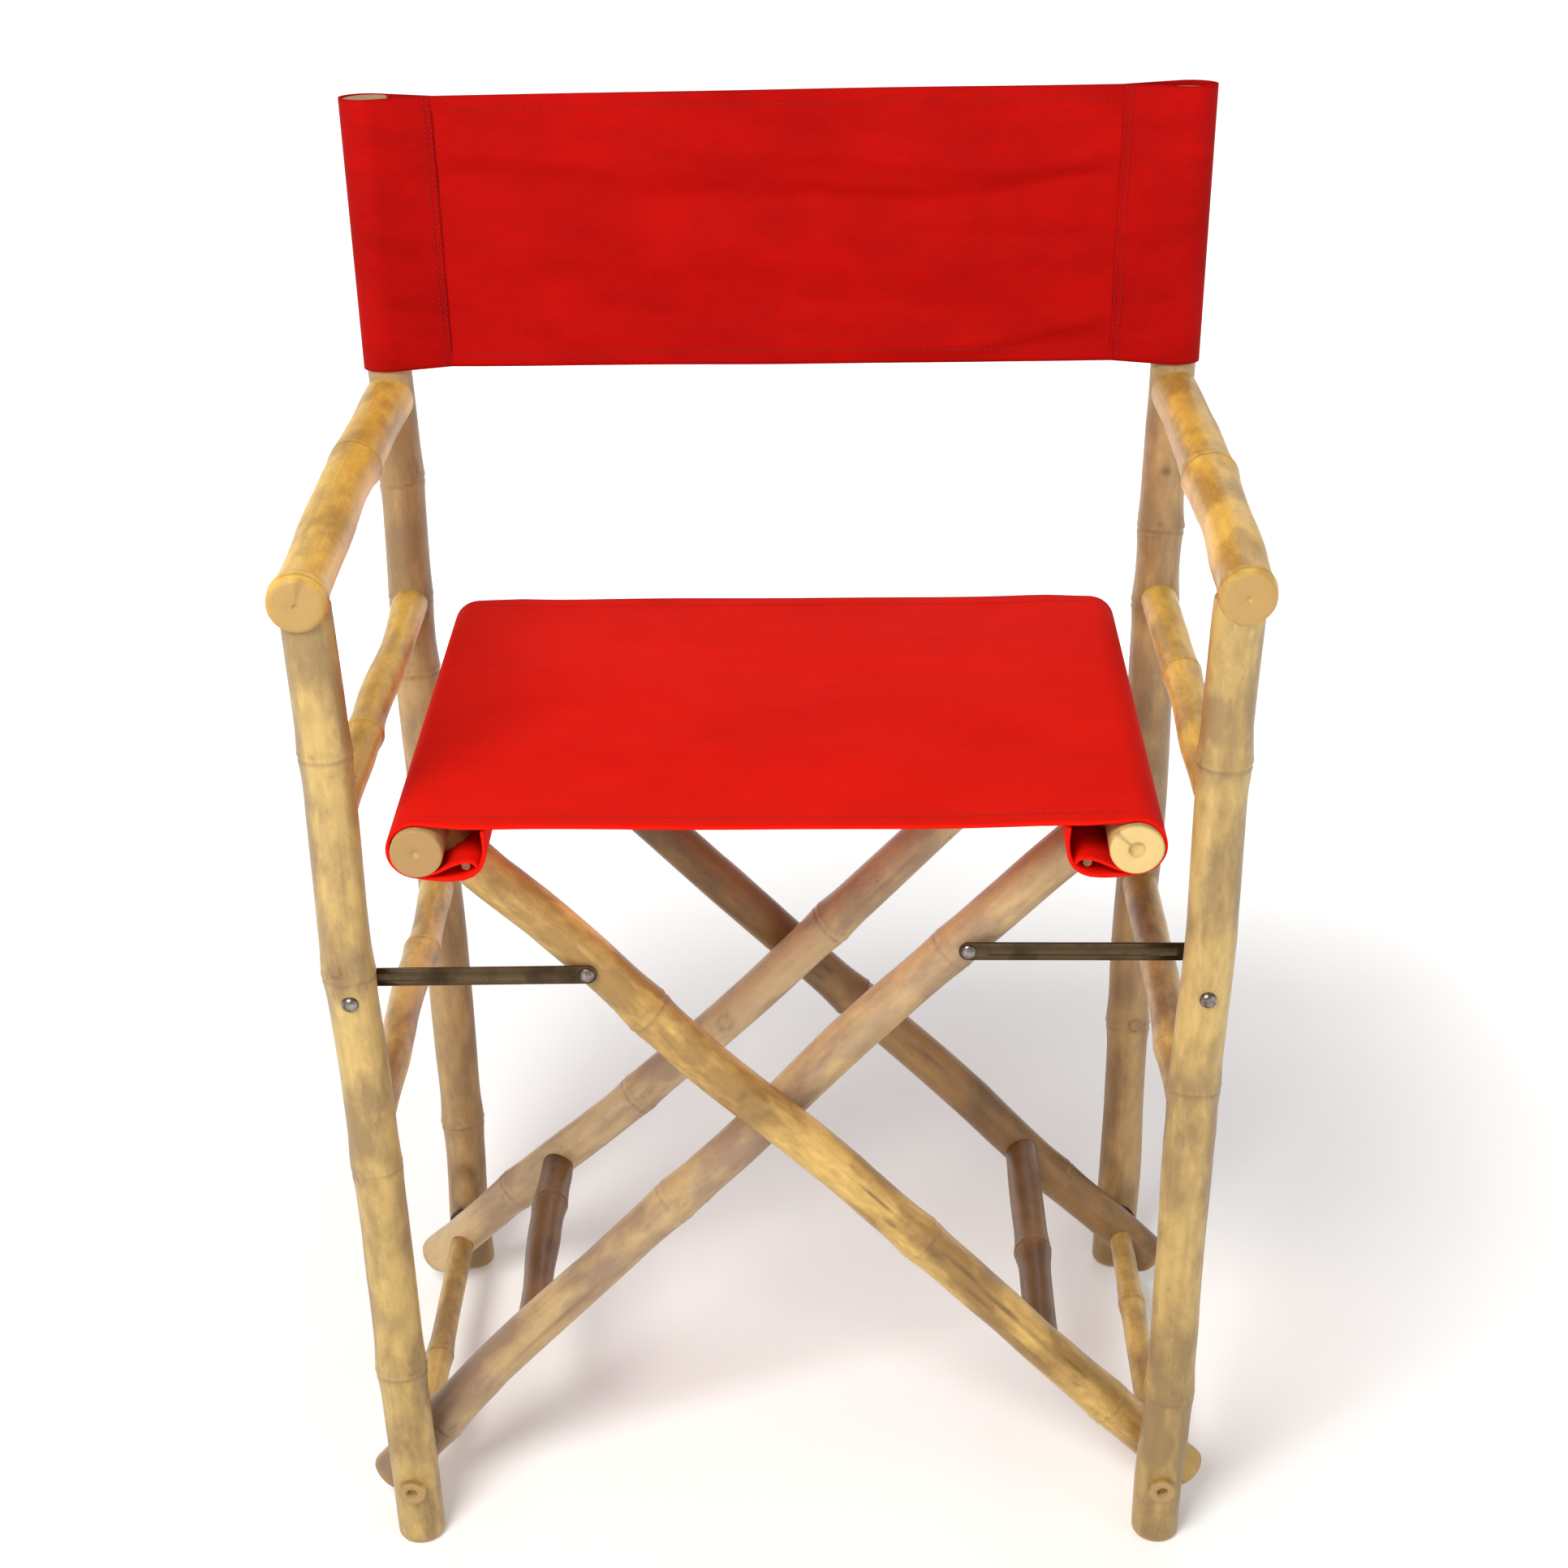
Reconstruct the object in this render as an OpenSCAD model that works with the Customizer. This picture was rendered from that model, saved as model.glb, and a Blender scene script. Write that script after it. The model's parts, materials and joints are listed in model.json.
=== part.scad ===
// Folding director chair: bamboo side frames, two scissor frames, fabric seat and back.
// Millimetres. X runs across the chair, Y from front to back, Z up from the floor.

/* [Side frames] */
// Distance between the left and right feet, centre to centre
foot_span = 504; // [490:1:520]
// Outward lean of each side frame from upright, in degrees
frame_lean = 1.66; // [1.4:0.02:2]
// Distance from front leg to rear post at the floor
frame_depth = 313; // [308:1:325]
// Backward lean of the rear posts, in degrees
post_lean = 4.57; // [4:0.01:5]
// Height of the rear post tops above the floor
post_top = 900; // [880:5:930]
// Diameter of the front legs
front_leg_dia = 33; // [31:0.5:33]
// Diameter of the rear posts
rear_post_dia = 32; // [30:0.5:33]
// Height of the armrest centre line
arm_height = 696; // [690:1:710]
// Diameter of the armrests
arm_dia = 34; // [33.5:0.5:36]
// Length of armrest in front of the front leg's centre line
arm_overhang = 20; // [18:1:40]
// Diameter of the two rails in each side frame
side_rail_dia = 25; // [20:0.5:27]
// Height of the upper side rail
upper_rail_height = 548; // [535:1:560]
// Height of the lower side rail
lower_rail_height = 327; // [318:1:335]

/* [Foot axles] */
// Height of the foot axles above the floor
axle_height = 48; // [46:1:54]
// Diameter of the foot axles
axle_dia = 18; // [16:0.5:18]
// Diameter of the hollow along each foot axle
axle_hollow = 8; // [5:0.5:9]
// Length of foot axle standing proud of the leg and the post
axle_proud = 4; // [2:0.5:6]

/* [Scissor frames] */
// Distance from the middle of the chair to each seat rail's centre
rail_offset = 217.5; // [214:0.5:220]
// Height of the seat rail centre lines
rail_height = 530; // [525:1:533]
// Diameter of the seat rails
rail_dia = 33; // [31:0.5:33]
// Diameter of the crossing legs
cross_leg_dia = 31; // [29:0.5:31]
// Length of crossing leg that pokes out past its foot axle
toe_length = 36; // [30:1:38]
// Diameter of the rungs
rung_dia = 23; // [20:0.5:26]
// Distance from the foot axle to the rung, along the crossing leg
rung_offset = 113; // [100:1:125]
// Diameter of the two crossing pins
pin_dia = 8; // [7:0.5:9]

/* [Links] */
// Angle that each crossing leg turns through as the chair folds, in degrees
fold_angle = 25.5; // [24:0.1:25.5]
// Distance from the crossing to the link rivet, along the crossing leg
rivet_offset = 172; // [168:1:176]
// Width of the metal links
link_width = 12.5; // [11:0.5:13]
// Thickness of the metal links
link_thick = 1.6; // [1.4:0.1:1.6]

/* [Fabric] */
// Thickness of the fabric
cloth_thick = 2; // [1.6:0.1:2]
// Height of the back panel's lower edge, along the post
back_from = 716.6; // [716:0.2:722]
// Height of the back panel's upper edge, along the post
back_to = 905.3; // [860:0.1:905.3]
// Distance from each seat rail to the stick in its hem
hem_inboard = 29; // [28:0.5:31]
// Depth of the hem stick below the seat rail's centre line
hem_drop = 12; // [11:0.5:13]

/* [Hidden] */
front_y = -191.4;
back_y = 354;
rail_front = -10;
joint_gap = 0.05;
air_gap = 0.3;
round_fn = 96;
big = 2000;

bamboo_colour = [0.80, 0.66, 0.42];
dark_bamboo_colour = [0.66, 0.50, 0.34];
arm_colour = [0.86, 0.64, 0.30];
steel_colour = [0.75, 0.76, 0.78];
link_colour = [0.42, 0.38, 0.33];
cloth_colour = [0.80, 0.05, 0.04];

front_leg_r = front_leg_dia / 2;
rear_post_r = rear_post_dia / 2;
arm_r = arm_dia / 2;
side_rail_r = side_rail_dia / 2;
axle_r = axle_dia / 2;
rail_r = rail_dia / 2;
cross_r = cross_leg_dia / 2;
rung_r = rung_dia / 2;
pin_r = pin_dia / 2;

// Where the front-to-back pieces of each scissor frame stand, measured from the front leg.
outer_front_y = 34.5;
outer_rear_y = 282.3;
inner_front_y = [35.5, 66.2, 58];
inner_rear_y = [280.8, 250.6, 258.8];

// The foot axle's point in the plane across the chair.
pivot_x = foot_span / 2 + axle_height * sin(frame_lean);
pivot_z = axle_height * cos(frame_lean);
axle_front = -front_leg_r - axle_proud;
axle_back = post_y(axle_height) + rear_post_r / cos(post_lean) + axle_proud;

// The crossing legs, seen from the front.
leg_run = pivot_x + rail_offset;
leg_rise = rail_height - pivot_z;
leg_length = norm([leg_run, leg_rise]);
open_angle = atan2(leg_rise, leg_run);
shut_angle = open_angle + fold_angle;
cross_z = pivot_z + pivot_x * leg_rise / leg_run;
foot_to_cross = pivot_x / cos(open_angle);
cross_to_rail = leg_length - foot_to_cross;

// The links close the chair when bolt and rivet are the same distance apart, open and shut.
span_sum = foot_to_cross + rivet_offset;
span_diff = foot_to_cross - rivet_offset;
sine_rise = sin(shut_angle) - sin(open_angle);
cosine_drop = cos(open_angle) - cos(shut_angle);
bolt_rise_upright = 2 * foot_to_cross * rivet_offset * (sin(shut_angle) + sin(open_angle)) / span_sum;
bolt_lean_share = tan(frame_lean) * span_diff * cosine_drop / (span_sum * sine_rise);
bolt_rise = bolt_rise_upright / (1 + bolt_lean_share);
bolt_x = pivot_x + bolt_rise * tan(frame_lean);
bolt_z = pivot_z + bolt_rise;
bolt_height = axle_height + bolt_rise / cos(frame_lean);
rivet_x = rivet_offset * cos(open_angle);
rivet_z = cross_z + rivet_offset * sin(open_angle);
link_length = norm([bolt_x - rivet_x, rivet_z - bolt_z]);
link_tilt = atan2(rivet_z - bolt_z, bolt_x - rivet_x);
left_link_y = 16.9;
right_link_y = 44;
bolt_r = 3;
bolt_head_r = 5.5;
spot_depth = 1;

// Growth rings of the poles, from the lower or front end.
ring_rise = 1.1;
ring_half = 5;
left_leg_rings = [141, 302, 595];
right_leg_rings = [120, 360, 586];
left_post_rings = [128, 497];
right_post_rings = [209, 600];
cross_leg_rings = [250, 520];

// Depth of the leaning rear post's centre line at a height, measured from the front leg.
function post_y(height) = frame_depth + height * tan(post_lean);

// Half outline of a pole along Z with softened ends and raised growth rings.
function pole_outline(length, r, rings, soft) = concat(
    [[0, 0], [r - soft, 0], [r, soft]],
    [for (at = rings) for (p = [[0, -ring_half], [ring_rise, -1.5], [ring_rise, 1.5], [0, ring_half]])
        [r + p[0], at + p[1]]],
    [[r, length - soft], [r - soft, length], [0, length]]
);

// Half outline of a low dome standing on Z = 0.
function dome_outline(r, height) = concat(
    [[0, 0], [r, 0]],
    [for (a = [15 : 15 : 75]) [r * cos(a), height * sin(a)]],
    [[0, height]]
);

module pole(length, r, rings = [], soft = 2.5) {
    rotate_extrude($fn = round_fn)
        polygon(pole_outline(length, r, rings, soft));
}

// Places children so that their Z axis runs from p towards q.
module along(p, q) {
    v = q - p;
    translate(p)
        rotate([0, acos(v[2] / norm(v)), atan2(v[1], v[0])])
            children();
}

// A round bar from front to back.
module bar_y(x, y1, y2, z, r) {
    translate([x, y1, z])
        rotate([-90, 0, 0])
            cylinder(h = y2 - y1, r = r, $fn = round_fn);
}

// A ring with its axis from front to back.
module ring_y(x, y1, y2, z, outer_r, inner_r) {
    difference() {
        bar_y(x, y1, y2, z, outer_r);
        bar_y(x, y1 - 1, y2 + 1, z, inner_r);
    }
}

module in_side_frame(side) {
    translate([side * foot_span / 2, front_y, 0])
        rotate([0, side * frame_lean, 0])
            children();
}

module on_post() {
    translate([0, frame_depth, 0])
        rotate([-post_lean, 0, 0])
            children();
}

// Everything below the floor, so that leaning feet are cut level.
module below_floor() {
    translate([-big / 2, -big / 2, -100])
        cube([big, big, 100]);
}

// ---- Side frames

// Plain shafts used to shape the ends that meet a leg or a post.
module leg_shaft() {
    cylinder(h = arm_height, r = front_leg_r, $fn = round_fn);
}

module post_shaft() {
    on_post()
        cylinder(h = post_top, r = rear_post_r, $fn = round_fn);
}

module arm_shaft() {
    bar_y(0, -arm_overhang, post_y(arm_height), arm_height, arm_r);
}

peg_r = 4;
peg_below = 31;
peg_above = 4;
tenon_r = 8;
tenon_depth = 10;

// Peg standing in the leg top and peg lying in the post, for the armrest.
module arm_peg_shapes(grow) {
    translate([0, 0, arm_height - peg_below - grow * 10])
        cylinder(h = peg_below + peg_above + grow * 20, r = peg_r + grow, $fn = round_fn);
    bar_y(0, post_y(arm_height) - peg_below - 5 - grow * 10,
        post_y(arm_height) + 5 + grow * 10, arm_height, peg_r + grow);
}

// Round tenons of a side rail, grown a little for its sockets.
module side_rail_tenons(height, grow) {
    bar_y(0, front_leg_r - tenon_depth - grow * 10,
        post_y(height) - rear_post_r + tenon_depth + grow * 10, height, tenon_r + grow);
}

module front_leg(side) {
    color(bamboo_colour)
        difference() {
            in_side_frame(side)
                difference() {
                    translate([0, 0, -1.5])
                        pole(arm_height + 1.5, front_leg_r, side < 0 ? left_leg_rings : right_leg_rings);
                    arm_shaft();
                    arm_peg_shapes(joint_gap);
                    side_rail_tenons(upper_rail_height, joint_gap);
                    side_rail_tenons(lower_rail_height, joint_gap);
                    bar_y(0, -50, 50, axle_height, axle_r + joint_gap);
                    bar_y(0, -50, 50, bolt_height, bolt_r + joint_gap);
                    bar_y(0, -50, spot_depth - front_leg_r, bolt_height, bolt_head_r + 0.1);
                }
            below_floor();
        }
}

module rear_post(side) {
    color(bamboo_colour)
        difference() {
            in_side_frame(side)
                difference() {
                    on_post()
                        translate([0, 0, -2.5])
                            pole(post_length + 2.5, rear_post_r, side < 0 ? left_post_rings : right_post_rings);
                    arm_peg_shapes(joint_gap);
                    side_rail_tenons(upper_rail_height, joint_gap);
                    side_rail_tenons(lower_rail_height, joint_gap);
                    bar_y(0, frame_depth - 50, frame_depth + 50, axle_height, axle_r + joint_gap);
                }
            below_floor();
        }
}
post_length = post_top / (cos(post_lean) * cos(frame_lean));

module armrest(side) {
    color(arm_colour)
        in_side_frame(side)
            difference() {
                translate([0, -arm_overhang, arm_height])
                    rotate([-90, 0, 0])
                        pole(post_y(arm_height) + arm_overhang, arm_r, [], 3);
                post_shaft();
                arm_peg_shapes(joint_gap);
            }
}

module side_rail(side, height) {
    color(bamboo_colour)
        in_side_frame(side) {
            difference() {
                bar_y(0, 0, post_y(height), height, side_rail_r);
                leg_shaft();
                post_shaft();
            }
            side_rail_tenons(height, 0);
        }
}

module foot_axle(side) {
    color(bamboo_colour)
        in_side_frame(side)
            difference() {
                translate([0, axle_front, axle_height])
                    rotate([-90, 0, 0])
                        pole(axle_back - axle_front, axle_r, [], 1);
                bar_y(0, axle_front - 1, axle_back + 1, axle_height, axle_hollow / 2);
            }
}

// Thin washers between the side frame and the crossing legs that share its axle.
module foot_washers(side) {
    slant = side > 0 ? 0 : (inner_front_y[1] - inner_front_y[0]) / foot_to_cross;
    lean_room = slant * washer_r + (sqrt(1 + slant * slant) - 1) * cross_r;
    front_face = (side > 0 ? outer_front_y : inner_front_y[0]) - cross_r - lean_room;
    rear_face = (side > 0 ? outer_rear_y : inner_rear_y[0]) + cross_r + lean_room;
    color(steel_colour)
        in_side_frame(side) {
            ring_y(0, front_leg_r + 0.1, front_face - air_gap, axle_height, washer_r, axle_r + joint_gap);
            ring_y(0, rear_face + air_gap, post_y(0) - rear_post_r + 2, axle_height,
                washer_r, axle_r + joint_gap);
        }
}
washer_r = axle_r + 4;

module arm_pegs(side) {
    color(bamboo_colour)
        in_side_frame(side)
            arm_peg_shapes(0);
}

// ---- Link hardware on the side frames

function bolt_end(side) = (side < 0 ? left_link_y : right_link_y) + link_thick + 6;

module link_bolt(side) {
    color(steel_colour)
        translate([side * bolt_x, front_y, bolt_z]) {
            bar_y(0, spot_depth - front_leg_r, bolt_end(side), 0, bolt_r);
            translate([0, spot_depth - front_leg_r, 0])
                rotate([90, 0, 0])
                    rotate_extrude($fn = round_fn)
                        polygon(dome_outline(bolt_head_r, 4.2));
        }
}

module link_nut(side) {
    color(steel_colour)
        translate([side * bolt_x, front_y + bolt_end(side) - 1, bolt_z])
            rotate([90, 0, 0])
                difference() {
                    cylinder(h = 4.6, r = 5.8, $fn = 6);
                    translate([0, 0, -1])
                        cylinder(h = 8, r = bolt_r + joint_gap, $fn = round_fn);
                }
}

// Tube that carries the right link back to the leg behind it.
module link_spacer_right() {
    color(steel_colour)
        translate([bolt_x, front_y, bolt_z])
            ring_y(0, front_leg_r + 0.1, right_link_y - 0.2, 0, bolt_r + 2.2, bolt_r + joint_gap);
}

// ---- Scissor frames

// The straight legs of the outer frame run from the right foot up to the left rail.
outer_foot = [pivot_x, 0, pivot_z];
outer_top = [-rail_offset, 0, rail_height];
inner_foot = [-pivot_x, 0, pivot_z];
inner_top = [rail_offset, 0, rail_height];
middle = [0, 0, cross_z];
leg_peg_r = 4;
leg_peg_below = 36;
leg_peg_above = 5;
rung_tenon_r = 7;

function at_depth(p, y) = [p[0], front_y + y, p[2]];

// Point on the leg from p to q, a distance on from p.
function part_way(p, q, distance) = p + (q - p) * distance / norm(q - p);

// Bores shared by all crossing legs: foot axle and the peg into the seat rail.
module leg_bores(foot, joint, top) {
    bar_y(foot[0], front_y - 50, front_y + frame_depth + 50, foot[2], axle_r + joint_gap);
    bar_y(top[0], front_y + rail_front, front_y + back_y, top[2], rail_r);
    rail_peg(joint, top, joint_gap);
}

module rail_peg(joint, top, grow) {
    span = norm(top - joint);
    along(joint, top)
        translate([0, 0, span - leg_peg_below - grow * 10])
            cylinder(h = leg_peg_below + leg_peg_above + grow * 20, r = leg_peg_r + grow, $fn = round_fn);
}

module outer_shaft(y) {
    foot = at_depth(outer_foot, y);
    top = at_depth(outer_top, y);
    along(part_way(foot, top, -toe_length), top)
        cylinder(h = leg_length + toe_length, r = cross_r, $fn = round_fn);
}

module outer_leg(y, pin_from, pin_to, rung_from, rung_to) {
    foot = at_depth(outer_foot, y);
    top = at_depth(outer_top, y);
    color(dark_bamboo_colour)
        difference() {
            along(part_way(foot, top, -toe_length), top)
                pole(leg_length + toe_length, cross_r, cross_leg_rings);
            leg_bores(foot, foot, top);
            bar_y(0, front_y + pin_from, front_y + pin_to, cross_z, pin_r + joint_gap);
            bar_y(outer_rung_at[0], front_y + rung_from, front_y + rung_to, outer_rung_at[2],
                rung_tenon_r + joint_gap);
        }
}

// A leg of the inner frame bends at the crossing, to pass behind the outer frame's leg.
module inner_shaft(y) {
    foot = at_depth(inner_foot, y[0]);
    joint = at_depth(middle, y[1]);
    top = at_depth(inner_top, y[2]);
    lower = norm(joint - foot);
    along(part_way(foot, joint, -toe_length), joint)
        cylinder(h = lower + toe_length + bend_lap, r = cross_r, $fn = round_fn);
    along(part_way(joint, top, -bend_lap), top)
        cylinder(h = norm(top - joint) + bend_lap, r = cross_r, $fn = round_fn);
}
bend_lap = 0.9;

module inner_leg(y, pin_from, pin_to, rung_from, rung_to) {
    foot = at_depth(inner_foot, y[0]);
    joint = at_depth(middle, y[1]);
    top = at_depth(inner_top, y[2]);
    color(dark_bamboo_colour)
        difference() {
            union() {
                along(part_way(foot, joint, -toe_length), joint)
                    pole(norm(joint - foot) + toe_length + bend_lap, cross_r, [cross_leg_rings[0]], 0.4);
                along(part_way(joint, top, -bend_lap), top)
                    pole(norm(top - joint) + bend_lap, cross_r, [cross_leg_rings[0] / 2], 0.4);
            }
            leg_bores(foot, joint, top);
            bar_y(0, front_y + pin_from, front_y + pin_to, cross_z, pin_r + joint_gap);
            bar_y(inner_rung_at[0], front_y + rung_from, front_y + rung_to, inner_rung_at[2],
                rung_tenon_r + joint_gap);
        }
}

outer_rung_at = part_way(outer_foot, outer_top, rung_offset);
inner_rung_at = part_way(inner_foot, inner_top, rung_offset);
inner_rung_y = [
    inner_front_y[0] + (inner_front_y[1] - inner_front_y[0]) * rung_offset / foot_to_cross,
    inner_rear_y[0] + (inner_rear_y[1] - inner_rear_y[0]) * rung_offset / foot_to_cross
];
rung_socket = 10;

module outer_rung() {
    color(dark_bamboo_colour) {
        difference() {
            bar_y(outer_rung_at[0], front_y + outer_front_y, front_y + outer_rear_y, outer_rung_at[2], rung_r);
            outer_shaft(outer_front_y);
            outer_shaft(outer_rear_y);
        }
        bar_y(outer_rung_at[0], front_y + outer_front_y + cross_r - rung_socket,
            front_y + outer_rear_y - cross_r + rung_socket, outer_rung_at[2], rung_tenon_r);
    }
}

module inner_rung() {
    color(dark_bamboo_colour) {
        difference() {
            bar_y(inner_rung_at[0], front_y + inner_rung_y[0], front_y + inner_rung_y[1], inner_rung_at[2],
                rung_r);
            inner_shaft(inner_front_y);
            inner_shaft(inner_rear_y);
        }
        bar_y(inner_rung_at[0], front_y + inner_rung_y[0] + cross_r - rung_socket,
            front_y + inner_rung_y[1] - cross_r + rung_socket, inner_rung_at[2], rung_tenon_r);
    }
}

module seat_rail(side) {
    color(bamboo_colour)
        difference() {
            translate([side * rail_offset, front_y + rail_front, rail_height])
                rotate([-90, 0, 0])
                    pole(back_y - rail_front, rail_r, [], 2);
            rail_peg_pair(side, joint_gap);
        }
}

module rail_peg_pair(side, grow) {
    if (side < 0) {
        rail_peg(at_depth(outer_foot, outer_front_y), at_depth(outer_top, outer_front_y), grow);
        rail_peg(at_depth(outer_foot, outer_rear_y), at_depth(outer_top, outer_rear_y), grow);
    } else {
        rail_peg(at_depth(middle, inner_front_y[1]), at_depth(inner_top, inner_front_y[2]), grow);
        rail_peg(at_depth(middle, inner_rear_y[1]), at_depth(inner_top, inner_rear_y[2]), grow);
    }
}

module rail_pegs(side) {
    color(bamboo_colour)
        rail_peg_pair(side, 0);
}

module crossing_pin(from, to) {
    color(steel_colour)
        bar_y(0, front_y + from, front_y + to, cross_z, pin_r);
}

// ---- Links

// A flat strip with rounded ends and a shallow channel along its front face.
module link_strip(side, y) {
    color(link_colour)
        translate([side * bolt_x, front_y + y + link_thick, bolt_z])
            rotate([0, side < 0 ? -link_tilt : 180 + link_tilt, 0])
                rotate([90, 0, 0])
                    difference() {
                        linear_extrude(link_thick)
                            difference() {
                                union() {
                                    circle(d = link_width, $fn = round_fn);
                                    translate([0, -link_width / 2])
                                        square([link_length, link_width]);
                                    translate([link_length, 0])
                                        circle(d = link_width, $fn = round_fn);
                                }
                                circle(r = bolt_r + joint_gap, $fn = round_fn);
                                translate([link_length, 0])
                                    circle(r = rivet_r + joint_gap, $fn = round_fn);
                            }
                        translate([link_width, -groove_width / 2, link_thick - groove_depth])
                            cube([link_length - 2 * link_width, groove_width, 1]);
                    }
}
rivet_r = 2.5;
groove_width = 5;
groove_depth = 0.5;

// Domed rivet held in the link's far end.
module link_rivet(side, y) {
    color(steel_colour)
        translate([side * rivet_x, front_y + y, rivet_z]) {
            bar_y(0, 0, link_thick, 0, rivet_r);
            rotate([90, 0, 0])
                rotate_extrude($fn = round_fn)
                    polygon(dome_outline(5, 2.6));
        }
}

// ---- Fabric

stick_r = 3;
hem_r = stick_r + air_gap + 1.6;
sleeve_inner = rail_r + air_gap;
sleeve_outer = sleeve_inner + cloth_thick;
hem_wall_inboard = 41;

// One rail's sleeve, its tail under the rail and the hem with its stick, seen from the front.
module hem_profile() {
    polygon([[0, -sleeve_outer], [-hem_inboard, -hem_drop - hem_r],
        [-hem_inboard, -hem_drop - hem_r + cloth_thick], [0, -sleeve_inner]]);
    polygon([[-hem_inboard - hem_r + cloth_thick, -hem_drop], [-hem_inboard - hem_r, -hem_drop],
        [-hem_wall_inboard, sleeve_inner + 0.5], [-hem_wall_inboard + cloth_thick, sleeve_inner + 0.5]]);
    translate([-hem_inboard, -hem_drop])
        circle(r = hem_r, $fn = round_fn);
}

module seat_edge(side) {
    bar_y(side * rail_offset, front_y + rail_front, front_y + back_y, rail_height, sleeve_outer);
    translate([side * rail_offset, front_y + back_y, rail_height])
        mirror([side < 0 ? 1 : 0, 0, 0])
            rotate([90, 0, 0])
                linear_extrude(back_y - rail_front)
                    hem_profile();
}

module leg_slots() {
    for (y = [outer_front_y, outer_rear_y])
        along(at_depth(middle, y), at_depth(outer_top, y))
            translate([0, 0, cross_to_rail / 2])
                cylinder(h = cross_to_rail / 2, r = cross_r + 1.5, $fn = round_fn);
    for (y = [inner_front_y, inner_rear_y])
        along(at_depth(middle, y[1]), at_depth(inner_top, y[2]))
            translate([0, 0, cross_to_rail / 2])
                cylinder(h = cross_to_rail / 2, r = cross_r + 1.5, $fn = round_fn);
}

module seat_cloth() {
    color(cloth_colour)
        difference() {
            union() {
                translate([-rail_offset, front_y + rail_front, rail_height + sleeve_inner])
                    cube([2 * rail_offset, back_y - rail_front, cloth_thick]);
                for (side = [-1, 1])
                    seat_edge(side);
            }
            for (side = [-1, 1]) {
                bar_y(side * rail_offset, front_y - 50, front_y + 400, rail_height, sleeve_inner);
                bar_y(side * (rail_offset - hem_inboard), front_y - 50, front_y + 400,
                    rail_height - hem_drop, stick_r + air_gap);
            }
            leg_slots();
        }
}

// The sticks stop short of the crossing legs, which pass between them.
module hem_sticks(side) {
    legs = side < 0 ? [outer_front_y, outer_rear_y] : [inner_front_y[2], inner_rear_y[2]];
    x = side * (rail_offset - hem_inboard);
    z = rail_height - hem_drop;
    clear = cross_r + 1.5;
    color(bamboo_colour) {
        bar_y(x, front_y + rail_front + 1, front_y + legs[0] - clear, z, stick_r);
        bar_y(x, front_y + legs[0] + clear, front_y + legs[1] - clear, z, stick_r);
        bar_y(x, front_y + legs[1] + clear, front_y + back_y - 1, z, stick_r);
    }
}

post_sleeve_inner = rear_post_r + air_gap;
post_sleeve_outer = post_sleeve_inner + cloth_thick;

// Half width of the chair between the post centre lines, at a distance up the leaning plane.
function half_width(up) = foot_span / 2 + up * cos(post_lean) * tan(frame_lean);

module back_cloth() {
    low = back_from * cos(frame_lean);
    high = back_to * cos(frame_lean);
    color(cloth_colour)
        difference() {
            union() {
                translate([0, front_y + frame_depth, 0])
                    rotate([90 - post_lean, 0, 0])
                        translate([0, 0, -cloth_thick / 2])
                            linear_extrude(cloth_thick)
                                polygon([[-half_width(low), low], [half_width(low), low],
                                    [half_width(high), high], [-half_width(high), high]]);
                for (side = [-1, 1])
                    in_side_frame(side)
                        on_post()
                            translate([0, 0, back_from])
                                cylinder(h = back_to - back_from, r = post_sleeve_outer, $fn = round_fn);
            }
            for (side = [-1, 1])
                in_side_frame(side)
                    on_post()
                        translate([0, 0, back_from - 10])
                            cylinder(h = back_to - back_from + 20, r = post_sleeve_inner, $fn = round_fn);
        }
}

// ---- Assembly

pin_front = [25.5, 75];
pin_rear = [242, 291];
blind = 0.5;

front_leg(-1);  // front_leg_left
front_leg(1);  // front_leg_right
rear_post(-1);  // rear_post_left
rear_post(1);  // rear_post_right
armrest(-1);  // armrest_left
armrest(1);  // armrest_right
side_rail(-1, upper_rail_height);  // upper_side_rail_left
side_rail(1, upper_rail_height);  // upper_side_rail_right
side_rail(-1, lower_rail_height);  // lower_side_rail_left
side_rail(1, lower_rail_height);  // lower_side_rail_right
foot_axle(-1);  // foot_axle_left
foot_axle(1);  // foot_axle_right
foot_washers(-1);  // foot_washers_left
foot_washers(1);  // foot_washers_right
arm_pegs(-1);  // arm_pegs_left
arm_pegs(1);  // arm_pegs_right
link_bolt(-1);  // link_bolt_left
link_bolt(1);  // link_bolt_right
link_nut(-1);  // link_nut_left
link_nut(1);  // link_nut_right
link_spacer_right();
outer_leg(outer_front_y, pin_front[0] - blind, 60, outer_front_y + cross_r - rung_socket - blind, 60);  // outer_leg_front
outer_leg(outer_rear_y, 257, pin_rear[1] + blind, 257, outer_rear_y - cross_r + rung_socket + blind);  // outer_leg_rear
outer_rung();
seat_rail(-1);  // seat_rail_left
rail_pegs(-1);  // rail_pegs_left
hem_sticks(-1);  // hem_sticks_left
inner_leg(inner_front_y, 40, pin_front[1] + blind, inner_rung_y[0] + cross_r - rung_socket - blind, 80);  // inner_leg_front
inner_leg(inner_rear_y, pin_rear[0] - blind, 280, 240, inner_rung_y[1] - cross_r + rung_socket + blind);  // inner_leg_rear
inner_rung();
seat_rail(1);  // seat_rail_right
rail_pegs(1);  // rail_pegs_right
hem_sticks(1);  // hem_sticks_right
crossing_pin(pin_front[0], pin_front[1]);  // crossing_pin_front
crossing_pin(pin_rear[0], pin_rear[1]);  // crossing_pin_rear
link_strip(-1, left_link_y);  // link_left
link_rivet(-1, left_link_y);  // link_rivet_left
link_strip(1, right_link_y);  // link_right
link_rivet(1, right_link_y);  // link_rivet_right
seat_cloth();
back_cloth();
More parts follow.
